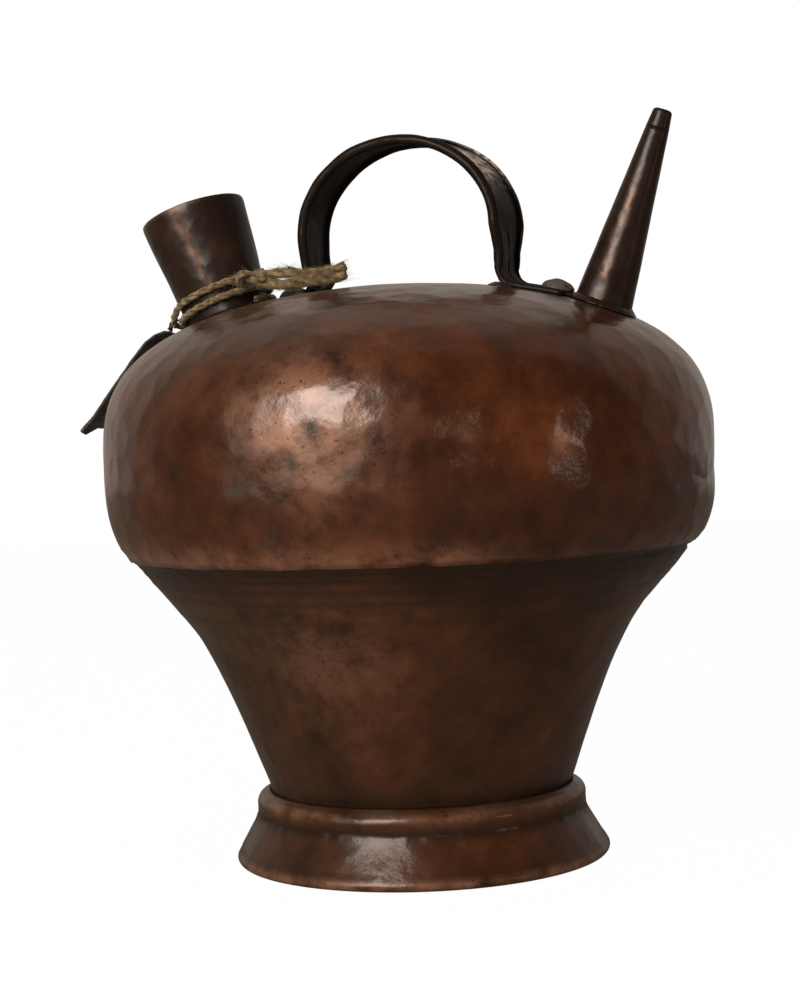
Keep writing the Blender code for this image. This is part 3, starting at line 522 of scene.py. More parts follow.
BODY_TONES = ((40, 21, 9), (57, 30, 13), (74, 40, 18), (102, 58, 27))
CUP_TONES = ((36, 21, 11), (50, 31, 17), (63, 38, 21), (85, 52, 30))
NECK_TONES = ((21, 14, 10), (29, 19, 13), (38, 24, 17), (56, 36, 26))
DARK_TONES = ((12, 10, 8), (18, 15, 12), (26, 22, 18), (44, 36, 30))
COPPER = copper_material("aged_copper", BODY_TONES, (0.30, 0.46), 0.0115, 0.0010, 0.8)
CUP_COPPER = copper_material("aged_copper_cup", CUP_TONES, (0.34, 0.50), 0.0090, 0.0005, 0.50)
NECK_COPPER = copper_material("aged_copper_neck", NECK_TONES, (0.36, 0.52), 0.0060, 0.0004, 0.5, gloss=0.30)
# Its pale colour for exposed copper paints the handle's highlight
DARK_COPPER = copper_material("dark_aged_copper", DARK_TONES, (0.45, 0.62), 0.0060, 0.0004, 0.12,
                              bare_and_highlight=(205, 186, 174))
SOLDER = plain_material("old_solder", ((0.35, (30, 21, 16)), (0.55, (50, 35, 26)), (0.78, (150, 128, 108))),
                        210.0, (0.30, 0.55), 0.5)
IRON = plain_material("old_iron", ((0.4, (38, 32, 30)), (0.6, (70, 58, 52))), 300.0, (0.45, 0.7), 0.8)
JUTE = plain_material("jute", ((0.30, (52, 40, 20)), (0.47, (92, 73, 41)), (0.72, (146, 119, 74))),
                      420.0, (0.75, 0.95), 0.0, 0.0002, 0.25)
# Painted shade: a darker copy of the jute, for the tag's loop
SHADED_JUTE = plain_material("shaded_jute", ((0.32, (20, 16, 10)), (0.50, (40, 32, 22)), (0.70, (72, 58, 40))),
                           420.0, (0.75, 0.95), 0.0, 0.0002, 0.1)
# Dark brown leather, darkened further as painted shade, as the tag is seen from its shaded side
LEATHER = plain_material("tag_leather", ((0.35, (26, 20, 18)), (0.55, (44, 33, 28)), (0.72, (74, 56, 46))),
                         130.0, (0.45, 0.75), 0.0, 0.0003, 0.1)


# The twine: winding, knot, tails, and the tag's loop
TAIL_RADIUS = 0.0024
TAIL_IN_KNOT = 0.0050
TAIL_SAG_SHARE = 0.85
KNOT_STRETCH, KNOT_SQUASH, KNOT_SINK = 1.15, 0.62, 0.0006
WINDING_STEPS = 96
KNOT_STEPS = 90
LOOP_STEPS = 48
TAIL_STEPS = 6
STRAND_SIDES = 8
STRAND_SWELL = 0.24
STRAND_SWELL_SIZE = 0.0026
STRAND_SHARES = {2: 0.52, 3: 0.56}
ROPE_STEP_SHARE = 0.30
HAIR_SIDES = 3
HAIR_STEPS = 6
HAIR_TAPER = 0.75


def smooth_route(points, steps):
    """A smooth curve through points, with so many steps between each two."""
    knots = [Vector(point) for point in points]
    knots = [knots[0] * 2 - knots[1]] + knots + [knots[-1] * 2 - knots[-2]]
    route = []
    for a, b, c, d in zip(knots, knots[1:], knots[2:], knots[3:]):
        route += [(2 * b + (c - a) * t + (2 * a - 5 * b + 4 * c - d) * t ** 2 + (3 * b - a - 3 * c + d) * t ** 3) / 2
                  for t in between(0, 1, steps)[:-1]]
    return route + [knots[-2]]


def winding_point(travel):
    angle = WINDING_START_ANGLE + 2 * pi * travel
    off = abs(angle - pi)
    slack = cos(pi / 2 * off / WINDING_BULGE_ANGLE) ** 2 if off < WINDING_BULGE_ANGLE else 0
    along = WINDING_TOP - WINDING_PITCH * travel - WINDING_DIP * slack
    reach = neck_radius(along) + FIT * 2 + TWINE_RADIUS + WINDING_BULGE * slack
    return NECK_PLACE @ Vector((reach * cos(angle), -reach * sin(angle), along))


def knot_point(share):
    t = pi * (1 + 2 * share)
    flat = Vector((cos(t) - 2 * cos(2 * t), sin(t) + 2 * sin(2 * t), 0))
    flat *= KNOT_REACH / TREFOIL_REACH
    lift = Vector((-flat.x, flat.y, -KNOT_DEPTH * sin(3 * t)))
    return Matrix.Translation(KNOT_PLACE) @ Matrix.Rotation(-KNOT_TILT, 4, "Y") @ lift


def stadium_point(share, half_width, length):
    """A place on a loop of two straights and two half circles; each half of the loop mirrors the other."""
    straight, turn = length - 2 * half_width, pi * half_width
    half, travel = divmod(share % 1 * 2 * (straight + turn) + straight / 2, straight + turn)
    angle = max(travel - straight, 0) / half_width
    sign = -1 if half == 1 else 1
    return (sign * half_width * cos(angle),
            length / 2 + sign * (straight / 2 - min(travel, straight) - half_width * sin(angle)))


LOOP_ANCHOR = winding_point((pi - WINDING_START_ANGLE) / (2 * pi))


def loop_point(share):
    top = TWINE_RADIUS + LOOP_PLAY + LOOP_CORD_RADIUS
    across, down = stadium_point(share, LOOP_HALF_WIDTH, LOOP_LENGTH + top)
    run = Vector((-cos(LOOP_SLOPE), 0, -sin(LOOP_SLOPE)))
    outward = Vector((-sin(LOOP_SLOPE), 0, cos(LOOP_SLOPE)))
    return LOOP_ANCHOR + run * (down - top) + outward * across + Vector((0, (2 * share - 1) * LOOP_SPLAY, 0))


def frames_along(route):
    """Unit vectors across a route that turn with it as little as they can."""
    across, result = None, []
    for index in range(len(route)):
        run = run_at(route, index)
        if across is None:
            across = run.orthogonal()
        across = (across - run * across.dot(run)).normalized()
        result.append((across, run.cross(across)))
    return result


def ring_round(centre, across, up, radius, sides, start=0.0):
    return [centre + (across * cos(turn + start) + up * sin(turn + start)) * radius for turn in circle(sides)]


def add_rope(name, node_name, route, radius, strands, turn_length, seed, material=JUTE, body="jug"):
    """Twists strands round a route; their thickness varies a little, as in spun fibre."""
    route = resample(route, radius * ROPE_STEP_SHARE)
    frames = frames_along(route)
    strand_radius = radius * STRAND_SHARES[strands]
    bm = bmesh.new()
    for strand in range(strands):
        rings, travelled = [], 0.0
        for index, (point, (across, up)) in enumerate(zip(route, frames)):
            if index:
                travelled += (point - route[index - 1]).length
            angle = 2 * pi * (strand / strands + travelled / turn_length)
            centre = point + (across * cos(angle) + up * sin(angle)) * (radius - strand_radius)
            swell = 1 + STRAND_SWELL * noise.noise(point / STRAND_SWELL_SIZE + Vector((strand * 7 + seed, 0, 0)))
            rings.append(ring_round(centre, across, up, strand_radius * swell, STRAND_SIDES, angle))
        skin(rings, True, bm)
    return add_piece(name, bm, material, node_name, body)


def add_hairs(bm, route, radius, count, length, seed, spread):
    """Loose fibres that leave a rope's surface and curl away."""
    draw = random.Random(seed)
    route = resample(route, radius / 2)
    frames = frames_along(route)
    for _ in range(count):
        index = draw.randrange(2, len(route) - 2)
        across, up = frames[index]
        angle = draw.uniform(0, 2 * pi)
        out = across * cos(angle) + up * sin(angle)
        run = run_at(route, index) * draw.choice((-1, 1))
        reach = length * draw.uniform(0.4, 1.0)
        curl = Vector((draw.uniform(-1, 1), draw.uniform(-1, 1), draw.uniform(-1, 1)))
        shares = between(0, 1, HAIR_STEPS)
        points = [route[index] + out * (radius * 0.8 + reach * spread * 0.35 * share)
                  + run * reach * share * 0.85 + curl * reach * 0.22 * share ** 2 for share in shares]
        thick = draw.uniform(0.00006, 0.00010)
        skin([ring_round(point, side, top, thick * (1 - HAIR_TAPER * share), HAIR_SIDES)
              for share, point, (side, top) in zip(shares, points, frames_along(points))], True, bm)


def build_twine():
    winding = [winding_point(travel) for travel in between(0, WINDING_TURNS, WINDING_STEPS)]
    shares = between(KNOT_OPENING_SHARE, 1 - KNOT_OPENING_SHARE, KNOT_STEPS)
    pulled = [knot_point(share) - KNOT_PLACE for share in shares]
    knot = [KNOT_PLACE + Vector((p.x * KNOT_STRETCH, p.y, p.z * KNOT_SQUASH - KNOT_SINK)) for p in pulled]
    tails = []
    for name, given, sag, dip in (("twine_tail_upper", UPPER_TAIL, 0.0031, 0.0012),
                                  ("twine_tail_lower", LOWER_TAIL, 0.0028, 0.0004)):
        x, y, z = given[0]
        route = smooth_route(((x - TAIL_IN_KNOT, y, z - dip),) + given, TAIL_STEPS)
        start, reach = route[0].x, route[-1].x - route[0].x
        drops = [sag * sin(pi * TAIL_SAG_SHARE * (p.x - start) / reach) for p in route]
        tails.append((name, [p - Vector((0, 0, drop)) for p, drop in zip(route, drops)]))
    loop = [loop_point(share) for share in between(-LOOP_LAP_SHARE, 1 + LOOP_LAP_SHARE, LOOP_STEPS)]
    knot_piece = add_rope("knot_of_twine", "twine_knot", knot, TWINE_RADIUS * 1.12, 3, 0.016, 3.0)
    add_rope("loop_of_the_tag", "tag_loop", loop, LOOP_CORD_RADIUS, 2, 0.0060, 5.0, SHADED_JUTE, "tag")
    wound = add_rope("winding_of_twine", "twine_winding", winding, TWINE_RADIUS * 1.08, 3, 0.017, 0.0)
    bm = bmesh.new()
    add_hairs(bm, winding, TWINE_RADIUS, 260, 0.007, 11, 0.6)
    add_hairs(bm, knot, TWINE_RADIUS, 220, 0.008, 12, 0.8)
    for index, (_, route) in enumerate(tails):
        add_hairs(bm, route, TAIL_RADIUS, 420, 0.008, 13 + index, 0.40)
    fuzz = add_piece("fuzz_of_twine", bm, JUTE)
    for index, (name, route) in enumerate(tails):
        tail = add_rope(name + "_laid", name, route, TAIL_RADIUS, 3, 0.022, 20.0 + index)


build_twine()


# The body
BODY_SIDES = 288
BODY_STEP = 0.0017
CROWN_STEPS = 600
BELLY_STEPS = 60
CUP_STEPS = 80
CUP_SWELL = 0.0016
FULLER_BY = 0.0014
LIP_EDGE = Vector((0.0018, 0.0028))
CREASE_DEPTH = 0.00022
FOOT_SIDES = 256
FOOT_STEP = 0.0014
HEM_TOP = 0.0052
ARC_STEPS = 8
WIRE_STEPS = 14
BORE_SIDES = 64
BORE_REACH = 0.02
CREASE_LEVELS = (0.1262, 0.1232, 0.1190, 0.1140, 0.1065)
# Spots: strength, width and centre
STAINS = ((1, 0.0055, (-0.0200, -0.1265, 0.1690)), (1, 0.0045, (-0.0190, -0.1262, 0.1600)),
          (1, 0.0042, (-0.0078, -0.1243, 0.1385)))
# Painted highlights on the belly: a pale patch where the window's reflection falls, and two small glints to its
# right
BELLY_PAINTED_HIGHLIGHTS = ((0.85, 0.024, (0.008, -0.127, 0.182)), (0.30, 0.0036, (0.0643, -0.1101, 0.1767)),
              (0.90, 0.0045, (0.0932, -0.0870, 0.1735)))
CUP_STAINS = ((0.7, 0.006, (-0.03, -0.058, 0.033)),)
CUP_RUBS = ((0.22, 0.03, (-0.005, -0.095, 0.09)),)


def cut_bores(piece):
    """Opens the shell under the neck and the spout."""
    for place, radius_at in ((NECK_PLACE, neck_radius), (SPOUT_PLACE, spout_radius)):
        bm = lathe([(0, BORE_REACH), (radius_at(BORE_REACH) - SHEET, BORE_REACH),
                    (radius_at(-BORE_REACH) - SHEET, -BORE_REACH), (0, -BORE_REACH)], BORE_SIDES, place)
        bmesh.ops.recalc_face_normals(bm, faces=bm.faces)
        cutter = object_from(bm, "bore")
        modifier = piece.modifiers.new("cut", "BOOLEAN")
        modifier.object, modifier.operation, modifier.solver = cutter, "DIFFERENCE", "EXACT"
        whole, opened = piece.data, evaluated_mesh(piece)
        piece.modifiers.clear()
        piece.data = opened
        bpy.data.meshes.remove(whole)
        bpy.data.objects.remove(cutter)
        opened.shade_smooth()


def fuller_side(point):
    """The body's right-hand side, seen from the front, is a little fuller near the seam."""
    facing = (point.x * cos(CAMERA_YAW) + point.y * sin(CAMERA_YAW)) / max(hypot(point.x, point.y), FIT)
    band = fade(point.z, 0.095, 0.125) * (1 - fade(point.z, 0.140, 0.170))
    return FULLER_BY * max(facing, 0) ** 2 * band


def upper_bump(point):
    low = 1 - min(max((point.z - LIP_LEVEL) / 0.010, 0), 1)
    return (waver(point, 0.055, 0.00045) + waver(point, 0.021, 0.00016) + hammer(point, 0.0125, 0.00022)
            + low * waver(point, 0.010, 0.00035) + fuller_side(point))


def build_upper_shell():
    crown = [BELLY_RADIUS * sin(turn) for turn in between(0, pi / 2, CROWN_STEPS)]
    outline = [(radius, crown_height(radius)) for radius in crown]
    outline += [(belly_radius(level), level) for level in between(BELLY_LEVEL, KINK_LEVEL, BELLY_STEPS)[1:]]
    outline = resample(outline, BODY_STEP)
    lip = Vector((LIP_RADIUS, LIP_LEVEL))
    outline += [lip + LIP_EDGE, lip]
    inner = offset_profile(outline, -SHEET)
    inner[0] = (0, CROWN_LEVEL - SHEET)
    bm = lathe(outline + inner[::-1], BODY_SIDES)
    work_surface(bm, upper_bump)
    piece = add_piece("shell_upper_worked", bm, COPPER, "upper_shell")
    cut_bores(piece)
    neck_foot, spout_foot = NECK_PLACE.translation, SPOUT_PLACE.translation

    def grime(p):
        # Darker band just above the lip, stronger on the right; painted shade round the neck and spout roots; a
        # patchy darker band lower on the belly
        lip = (0.2 + 1.1 * fade(p.x, 0.055, 0.080)) * glow(p.z - LIP_LEVEL - 0.005, 0.004) * patch(p, 0.015)
        roots = glow((p - neck_foot).length - 0.020, 0.007) + 0.7 * glow((p - spout_foot).length - 0.014, 0.004)
        return lip + roots + 0.6 * glow(p.z - 0.150, 0.012) * patch(p, 0.03, 0.1)

    def worn(p):
        # Painted highlight along the lip's edge, fading out on the right, and painted highlight spots on the belly
        lip = 0.42 * glow(p.z - LIP_LEVEL - 0.003, 0.005)
        lip += 0.7 * glow(p.z - LIP_LEVEL - 0.0006, 0.0011) * min(patch(p, 0.012, 0.7, 2), 1)
        return spots(p, BELLY_PAINTED_HIGHLIGHTS) + lip * (1 - 0.9 * fade(p.x, 0.055, 0.085))

    def bloom(p):
        return spots(p, STAINS) + 0.8 * glow((p - neck_foot).length - 0.024, 0.003) * patch(p, 0.008, 0.2)

    mark(piece, grime=grime, worn=worn, bloom=bloom)


def lower_bump(point):
    level = point.z
    angle = atan2(point.y, point.x)
    crease = sum(glow(level - z - 0.0008 * noise.noise(Vector((angle * 2, z * 900, 0))), 0.0007)
                 * max(0.55 + noise.noise(Vector((angle * 3, z * 700, 4))), 0) for z in CREASE_LEVELS)
    return (waver(point, 0.05, 0.0005) + waver(point, 0.018, 0.00014) + hammer(point, 0.010, 0.00012)
            - CREASE_DEPTH * crease + fuller_side(point))


def build_lower_shell():
    lap_top = KINK_LEVEL + LAP_HEIGHT
    lap = [(belly_radius(lap_top), lap_top), (KINK_RADIUS, KINK_LEVEL), (LIP_RADIUS, LIP_LEVEL)]
    outline = offset_profile(lap, -SHEET - FIT)[:2]
    cup = [(cup_radius(level) + CUP_SWELL * fade(level, 0.094, 0.112) * (1 - 0.75 * fade(level, 0.118, LIP_LEVEL)),
            level) for level in between(LIP_LEVEL, WAIST_LEVEL, CUP_STEPS)]
    outline += resample(cup, BODY_STEP) + [(CUP_END_RADIUS, CUP_END_LEVEL)]
    bm = lathe(outline + offset_profile(outline, -SHEET)[::-1], BODY_SIDES)
    work_surface(bm, lambda p: lower_bump(p) if WAIST_LEVEL < p.z < LIP_LEVEL - 0.0005 else 0)
    piece = add_piece("shell_lower_worked", bm, CUP_COPPER, "lower_shell")

    def grime(p):
        # Painted shade under the lip's overhang, at the waist over the foot and in the creases
        return (0.6 * glow(p.z - LIP_LEVEL, 0.011) + 0.7 * glow(p.z - WAIST_LEVEL, 0.006)
                + sum(0.35 * glow(p.z - level, 0.001) for level in CREASE_LEVELS))

    mark(piece, grime=grime, worn=lambda p: spots(p, CUP_RUBS), bloom=lambda p: spots(p, CUP_STAINS))


def build_foot():
    centre = hem_x, hem_z = FOOT_RADIUS - FOOT_HEM_RADIUS, FOOT_HEM_RADIUS - FOOT_HEM_WEAR
    top_radius, top_level = WAIST_RADIUS + FIT, FOOT_SHOULDER_LEVEL + FOOT_TOP_ROUND + SHEET
    outer = [(top_radius, top_level)]
    outer += arc_points((FOOT_SHOULDER_RADIUS - FOOT_TOP_ROUND, FOOT_SHOULDER_LEVEL), FOOT_TOP_ROUND,
                        FOOT_TOP_START_ANGLE, 0, ARC_STEPS)
    outer += [(FOOT_CREASE_RADIUS, FOOT_CREASE_LEVEL), (FOOT_CREASE_RADIUS + SHEET, FOOT_CREASE_LEVEL - SHEET * 2)]
    inner = offset_profile(outer, -SHEET)
    inner[0] = (top_radius, top_level - SHEET)
    flat = degrees(asin(hem_z / FOOT_HEM_RADIUS))
    hem = arc_points(centre, FOOT_HEM_RADIUS, FOOT_HEM_START_ANGLE, -flat, ARC_STEPS)
    hem += arc_points(centre, FOOT_HEM_RADIUS, flat - 180, FOOT_HEM_END_ANGLE, ARC_STEPS)
    hem += arc_points(centre, WIRE_RADIUS + FIT, FOOT_HEM_END_ANGLE, FOOT_HEM_START_ANGLE, WIRE_STEPS)
    loop = outer + hem + [(hem_x - SHEET / 2, hem_z + FOOT_HEM_RADIUS + SHEET)] + inner[::-1]
    bm = lathe(refine(loop, FOOT_STEP), FOOT_SIDES)

    def worn_foot(point):
        if point.z < HEM_TOP:
            return 0
        band = glow(point.z - FOOT_CREASE_LEVEL, 0.0026)
        return (waver(point, 0.03, 0.0004) + hammer(point, 0.009, 0.00010) + band * waver(point, 0.004, 0.00045)
                - 0.0003 * band)

    work_surface(bm, worn_foot)
    piece = add_piece("foot_skirt_worked", bm, CUP_COPPER, "foot_skirt")
    # Painted shade in the foot's crease, at its top against the cup and above the hem
    mark(piece, grime=lambda p: (0.8 * glow(p.z - FOOT_CREASE_LEVEL, 0.0024) + 0.6 * glow(p.z - 0.030, 0.002)
                                 + 0.3 * glow(p.z - HEM_TOP, 0.0012)),
         worn=lambda p: (0.6 * glow(p.z - FOOT_SHOULDER_LEVEL - 0.003, 0.003) * patch(p, 0.03, 0.4)
                         + 0.5 * glow(p.z - 0.002, 0.002)))


# Neck and spout
ROOT_SEARCH = 0.02
ROOT_HALVINGS = 24
NECK_SIDES, NECK_ROWS = 144, 44
NECK_CREASE_ANGLE, NECK_CREASE_TWIST = 1.33, 3.5
NECK_LEAN = -0.022
SPOUT_SIDES, SPOUT_ROWS = 96, 60
SPOUT_STREAK_ANGLE = 1.60
TIP_SEAT_GAP = 0.00006
TIP_SIDES, TIP_STEP = 64, 0.001
TIP_DARKENING = 0.85
SOLDER_SIDES, SOLDER_STEPS = 144, 7


def root_along(place, radius_at, angle, clearance):
    """Where a tube's wall at an angle comes down to the crown."""
    low, high = -ROOT_SEARCH, ROOT_SEARCH
    for _ in range(ROOT_HALVINGS):
        middle = (low + high) / 2
        point = place @ polar(radius_at(middle) + clearance, angle, middle)
        if point.z > crown_height(hypot(point.x, point.y)) + clearance:
            high = middle
        else:
            low = middle
    return high


def seated_cone(place, radius_at, top, crest, sides, rows, flaw, lean=0.0):
    """A tapered tube whose root follows the crown; crest is its rim's (radius, along) outline."""
    rings = [[] for _ in range(2 * rows + len(crest))]
    for angle in circle(sides):
        wall = between(root_along(place, radius_at, angle, FIT), top, rows)[:-1]
        column = [(radius_at(along), along) for along in wall] + crest
        column += [(radius_at(along) - SHEET, along) for along in wall[::-1]]
        for ring, (radius, along) in zip(rings, column):
            radius += flaw(angle, along)
            ring.append(place @ Vector((radius * cos(angle) + lean * max(along, 0), radius * sin(angle), along)))
    return closed_skin(rings)


def off_crease(angle, along):
    """Angle from the neck's long crease, which winds round it."""
    return remainder(angle + NECK_CREASE_ANGLE + along * NECK_CREASE_TWIST, 2 * pi)


def build_neck():
    hem = NECK_LENGTH - NECK_HEM_HEIGHT
    crest = [(neck_radius(hem), hem)]
    crest += arc_points((NECK_RIM_RADIUS - SHEET / 2 - FIT, NECK_LENGTH - SHEET / 2), SHEET / 2,
                        0, 180, ARC_STEPS)
    crest.append((NECK_RIM_RADIUS - SHEET, hem))

    def flaw(angle, along):
        at = polar(0.02, angle, along)
        crease = glow(off_crease(angle, along), 0.06)
        steady_root = min(along / 0.004 + 0.6, 1)
        return (waver(at, 0.016, 0.00028) + hammer(at, 0.008, 0.00012) - CREASE_DEPTH * crease) * steady_root

    bm = seated_cone(NECK_PLACE, neck_radius, hem, crest, NECK_SIDES, NECK_ROWS, flaw, NECK_LEAN)
    piece = add_piece("filler_neck_worked", bm, NECK_COPPER, "filler_neck")
    away = NECK_PLACE.inverted()

    def grime(p):
        # Painted shade at the neck's root, under the twine, and inside the neck
        at = away @ p
        return glow(at.z, 0.009) + (0.9 if at.xy.length < neck_radius(at.z) - SHEET * 0.7 else 0)

    def worn(p):
        # Painted highlight streak along the neck's winding crease, and a lighter rim edge
        at = away @ p
        return (0.5 * glow(off_crease(atan2(at.y, at.x), at.z), 0.10) * min(patch(p, 0.004, 0.8, 2), 1)
                + 0.35 * glow(at.z - NECK_LENGTH, 0.0010))

    mark(piece, grime=grime, worn=worn)


def build_spout():
    def flaw(angle, along):
        at = polar(0.01, angle, along)
        return (waver(at, 0.012, 0.00016) + hammer(at, 0.006, 0.00005)) * (1 - along / SPOUT_LENGTH * 0.8)

    crest = [(spout_radius(SPOUT_LENGTH), SPOUT_LENGTH), (spout_radius(SPOUT_LENGTH) - SHEET, SPOUT_LENGTH)]
    bm = seated_cone(SPOUT_PLACE, spout_radius, SPOUT_LENGTH, crest, SPOUT_SIDES, SPOUT_ROWS, flaw)
    piece = add_piece("drinking_spout_worked", bm, NECK_COPPER, "drinking_spout")
    away = SPOUT_PLACE.inverted()

    def worn(p):
        # Painted highlight streak down the spout's side, fading towards its end
        at = away @ p
        streak = glow(remainder(atan2(at.y, at.x) + SPOUT_STREAK_ANGLE, 2 * pi), 0.16)
        return 0.65 * streak * min(patch(p, 0.003, 0.9, 2), 1) * (1 - 0.6 * fade(at.z, 0.045, 0.065))

    # Darker at the spout's root and towards its end; the tip is dark all over
    mark(piece, grime=lambda p: 0.8 * glow((away @ p).z, 0.004) + 0.7 * glow((away @ p).z - SPOUT_LENGTH, 0.012),
         worn=worn)
    end, spigot = SPOUT_LENGTH + TIP_LENGTH, SPOUT_LENGTH - TIP_SPIGOT_LENGTH
    tight = spout_radius(SPOUT_LENGTH) - SHEET - FIT
    seat = SPOUT_LENGTH + TIP_SEAT_GAP
    tip = [(tight, spigot), (tight, seat), (SPOUT_END_RADIUS, seat)]
    tip += arc_points((TIP_END_RADIUS - TIP_ROUND, end - TIP_ROUND), TIP_ROUND, 0, 90, ARC_STEPS)
    tip += [(TIP_BORE_RADIUS, end), (TIP_BORE_RADIUS, spigot)]
    bm = lathe(refine(tip, TIP_STEP), TIP_SIDES, SPOUT_PLACE)
    piece = add_piece("spout_tip_worked", bm, NECK_COPPER, "spout_tip")
    mark(piece, grime=lambda p: TIP_DARKENING)


def solder_ring(name, place, radius_at, size, seed, material):
    """A lumpy fillet of solder round a root."""
    rings = []
    for angle in circle(SOLDER_SIDES):
        along = root_along(place, radius_at, angle, FIT)
        lump = size * (1 + 0.22 * noise.noise(polar(5, angle, seed)))
        foot = place @ polar(radius_at(along) + FIT / 2, angle, along)
        top = place @ polar(radius_at(along + lump) + FIT / 2, angle, along + lump)
        toe = place @ polar(radius_at(along) + lump, angle, along)
        toe.z = crown_height(hypot(toe.x, toe.y)) + FIT / 2
        swell = (toe + top) / 2 - foot
        rings.append([foot] + [toe.lerp(top, share) + swell * (0.10 * sin(pi * share))
                               for share in between(0, 1, SOLDER_STEPS)])
    bm = closed_skin(rings)
    work_surface(bm, lambda p: waver(p, 0.0022, 0.00018))
    add_piece(name + "_run", bm, material, name)


build_upper_shell()
build_lower_shell()
build_foot()
build_neck()
build_spout()
solder_ring("neck_solder", NECK_PLACE, neck_radius, NECK_SOLDER, 1.0, SOLDER)
solder_ring("spout_solder", SPOUT_PLACE, spout_radius, SPOUT_SOLDER, 2.0, NECK_COPPER)


# Handle, rivets and solder lumps
FEET = (("right", 1, RIGHT_FOOT_END_X, RIGHT_RIVET_X), ("left", -1, LEFT_FOOT_END_X, LEFT_RIVET_X))
FOOT_FLAT_LEVEL = 0.2400
HEAD_SPREAD = 1.12
HEAD_STEPS = 18
RIVET_SIDES = 64
RIVET_WEAR = 0.12
LEG_STEPS = 8
ARCH_STEPS = 96
BEAD_STEPS = 16
BEND_STEPS = 14
FOOT_STEPS = 12
LEFT_PINCH, RIGHT_PINCH = 0.0014, -0.0012
BEAD_LOSS = 0.42
LEFT_FOOT_WIDER, RIGHT_FOOT_WIDER = -0.0012, 0.0010
STRAP_TILT = 0.03
STRAP_SINK = 0.0004
# Place of a scuffed patch on the handle, painted pale as a highlight
RUB_AND_HIGHLIGHT_PLACE = Vector((0.0355, 0, 0.2915))


def arch_bend(side, level, normal):
    """How the arch leans and spreads at a place across the strap, and how its legs narrow."""
    share = min(max((level - HANDLE_GRIP_END_LEVEL) / (HANDLE_SPRING_LEVEL - HANDLE_GRIP_END_LEVEL), 0), 1)
    narrowing = Vector((0, -copysign(HANDLE_LEG_NARROWING, side), 0))
    lean = Vector((side * HANDLE_SKEW, 0, 0)) - normal * side * HANDLE_FLARE
    return lean * share + narrowing * (1 - share)


def leg_reach(level, side=1):
    share = (HANDLE_SPRING_LEVEL - level) / (HANDLE_SPRING_LEVEL - CROWN_LEVEL)
    return HANDLE_HALF_SPAN - (HANDLE_LEG_PINCH + (LEFT_PINCH if side < 0 else RIGHT_PINCH)) * share ** 2


def grip_path():
    leg = between(HANDLE_GRIP_END_LEVEL, HANDLE_SPRING_LEVEL, LEG_STEPS)[:-1]
    arch = [(HANDLE_CENTRE_X + HANDLE_HALF_SPAN * cos(turn),
             HANDLE_SPRING_LEVEL + (HANDLE_CROWN_LEVEL - HANDLE_SPRING_LEVEL) * sin(turn))
            for turn in between(0, pi, ARCH_STEPS)]
    return ([(HANDLE_CENTRE_X + leg_reach(level), level) for level in leg] + arch
            + [(HANDLE_CENTRE_X - leg_reach(level, -1), level) for level in leg[::-1]])


def bead_arc(radius, start, end):
    return [(radius * sin(radians(turn)), -radius * cos(radians(turn))) for turn in between(start, end, BEAD_STEPS)]


def grip_section():
    bead_y = HANDLE_WIDTH / 2 - HANDLE_BEAD_RADIUS
    hole = WIRE_RADIUS + FIT
    leave = degrees(asin(HANDLE_PLATE / 2 / HANDLE_BEAD_RADIUS))
    arrive = -degrees(asin(HANDLE_PLATE / 2 / hole))
    curl = bead_arc(HANDLE_BEAD_RADIUS, leave, HANDLE_CURL_END) + bead_arc(hole, HANDLE_CURL_END, arrive)
    right = [(out, bead_y + along) for out, along in curl]
    return [tuple(point) for point in refine(right + [(out, -side) for out, side in right[::-1]], 0.0016)]


def foot_path(side, end_x, lift):
    """Middle line of a foot, from the leg down round the bend and out along the crown."""
    top = HANDLE_GRIP_END_LEVEL + HANDLE_FOOT_LAP
    bend_x = HANDLE_CENTRE_X + side * (leg_reach(CROWN_LEVEL, side) + HANDLE_BEND_RADIUS)
    slope = crown_slope(bend_x)

    def level(x):
        return crown_height(abs(x)) + lift / cos(crown_slope(x))

    end_of_bend = bend_x - side * HANDLE_BEND_RADIUS * sin(slope)
    centre_z = level(end_of_bend) + HANDLE_BEND_RADIUS * cos(slope)
    points = [(HANDLE_CENTRE_X + side * leg_reach(max(height, CROWN_LEVEL), side), height)
              for height in between(top, centre_z, FOOT_STEPS)[:-1]]
    points += [(bend_x - side * HANDLE_BEND_RADIUS * cos(turn), centre_z - HANDLE_BEND_RADIUS * sin(turn))
               for turn in between(0, pi / 2 - slope, BEND_STEPS)]
    return points + [(x, level(x)) for x in between(end_of_bend, end_x, FOOT_STEPS)[1:]]


def strap_route():
    """Middle line of the whole handle, from the right foot's end over the arch to the left foot's end."""
    lift = FIT + HANDLE_FOOT_PLATE / 2
    right, left = ([(x, z) for x, z in foot_path(side, end_x, lift) if z < HANDLE_GRIP_END_LEVEL - 0.0005]
                   for _, side, end_x, _ in FEET)
    return [Vector(point) for point in right[::-1] + grip_path() + left]


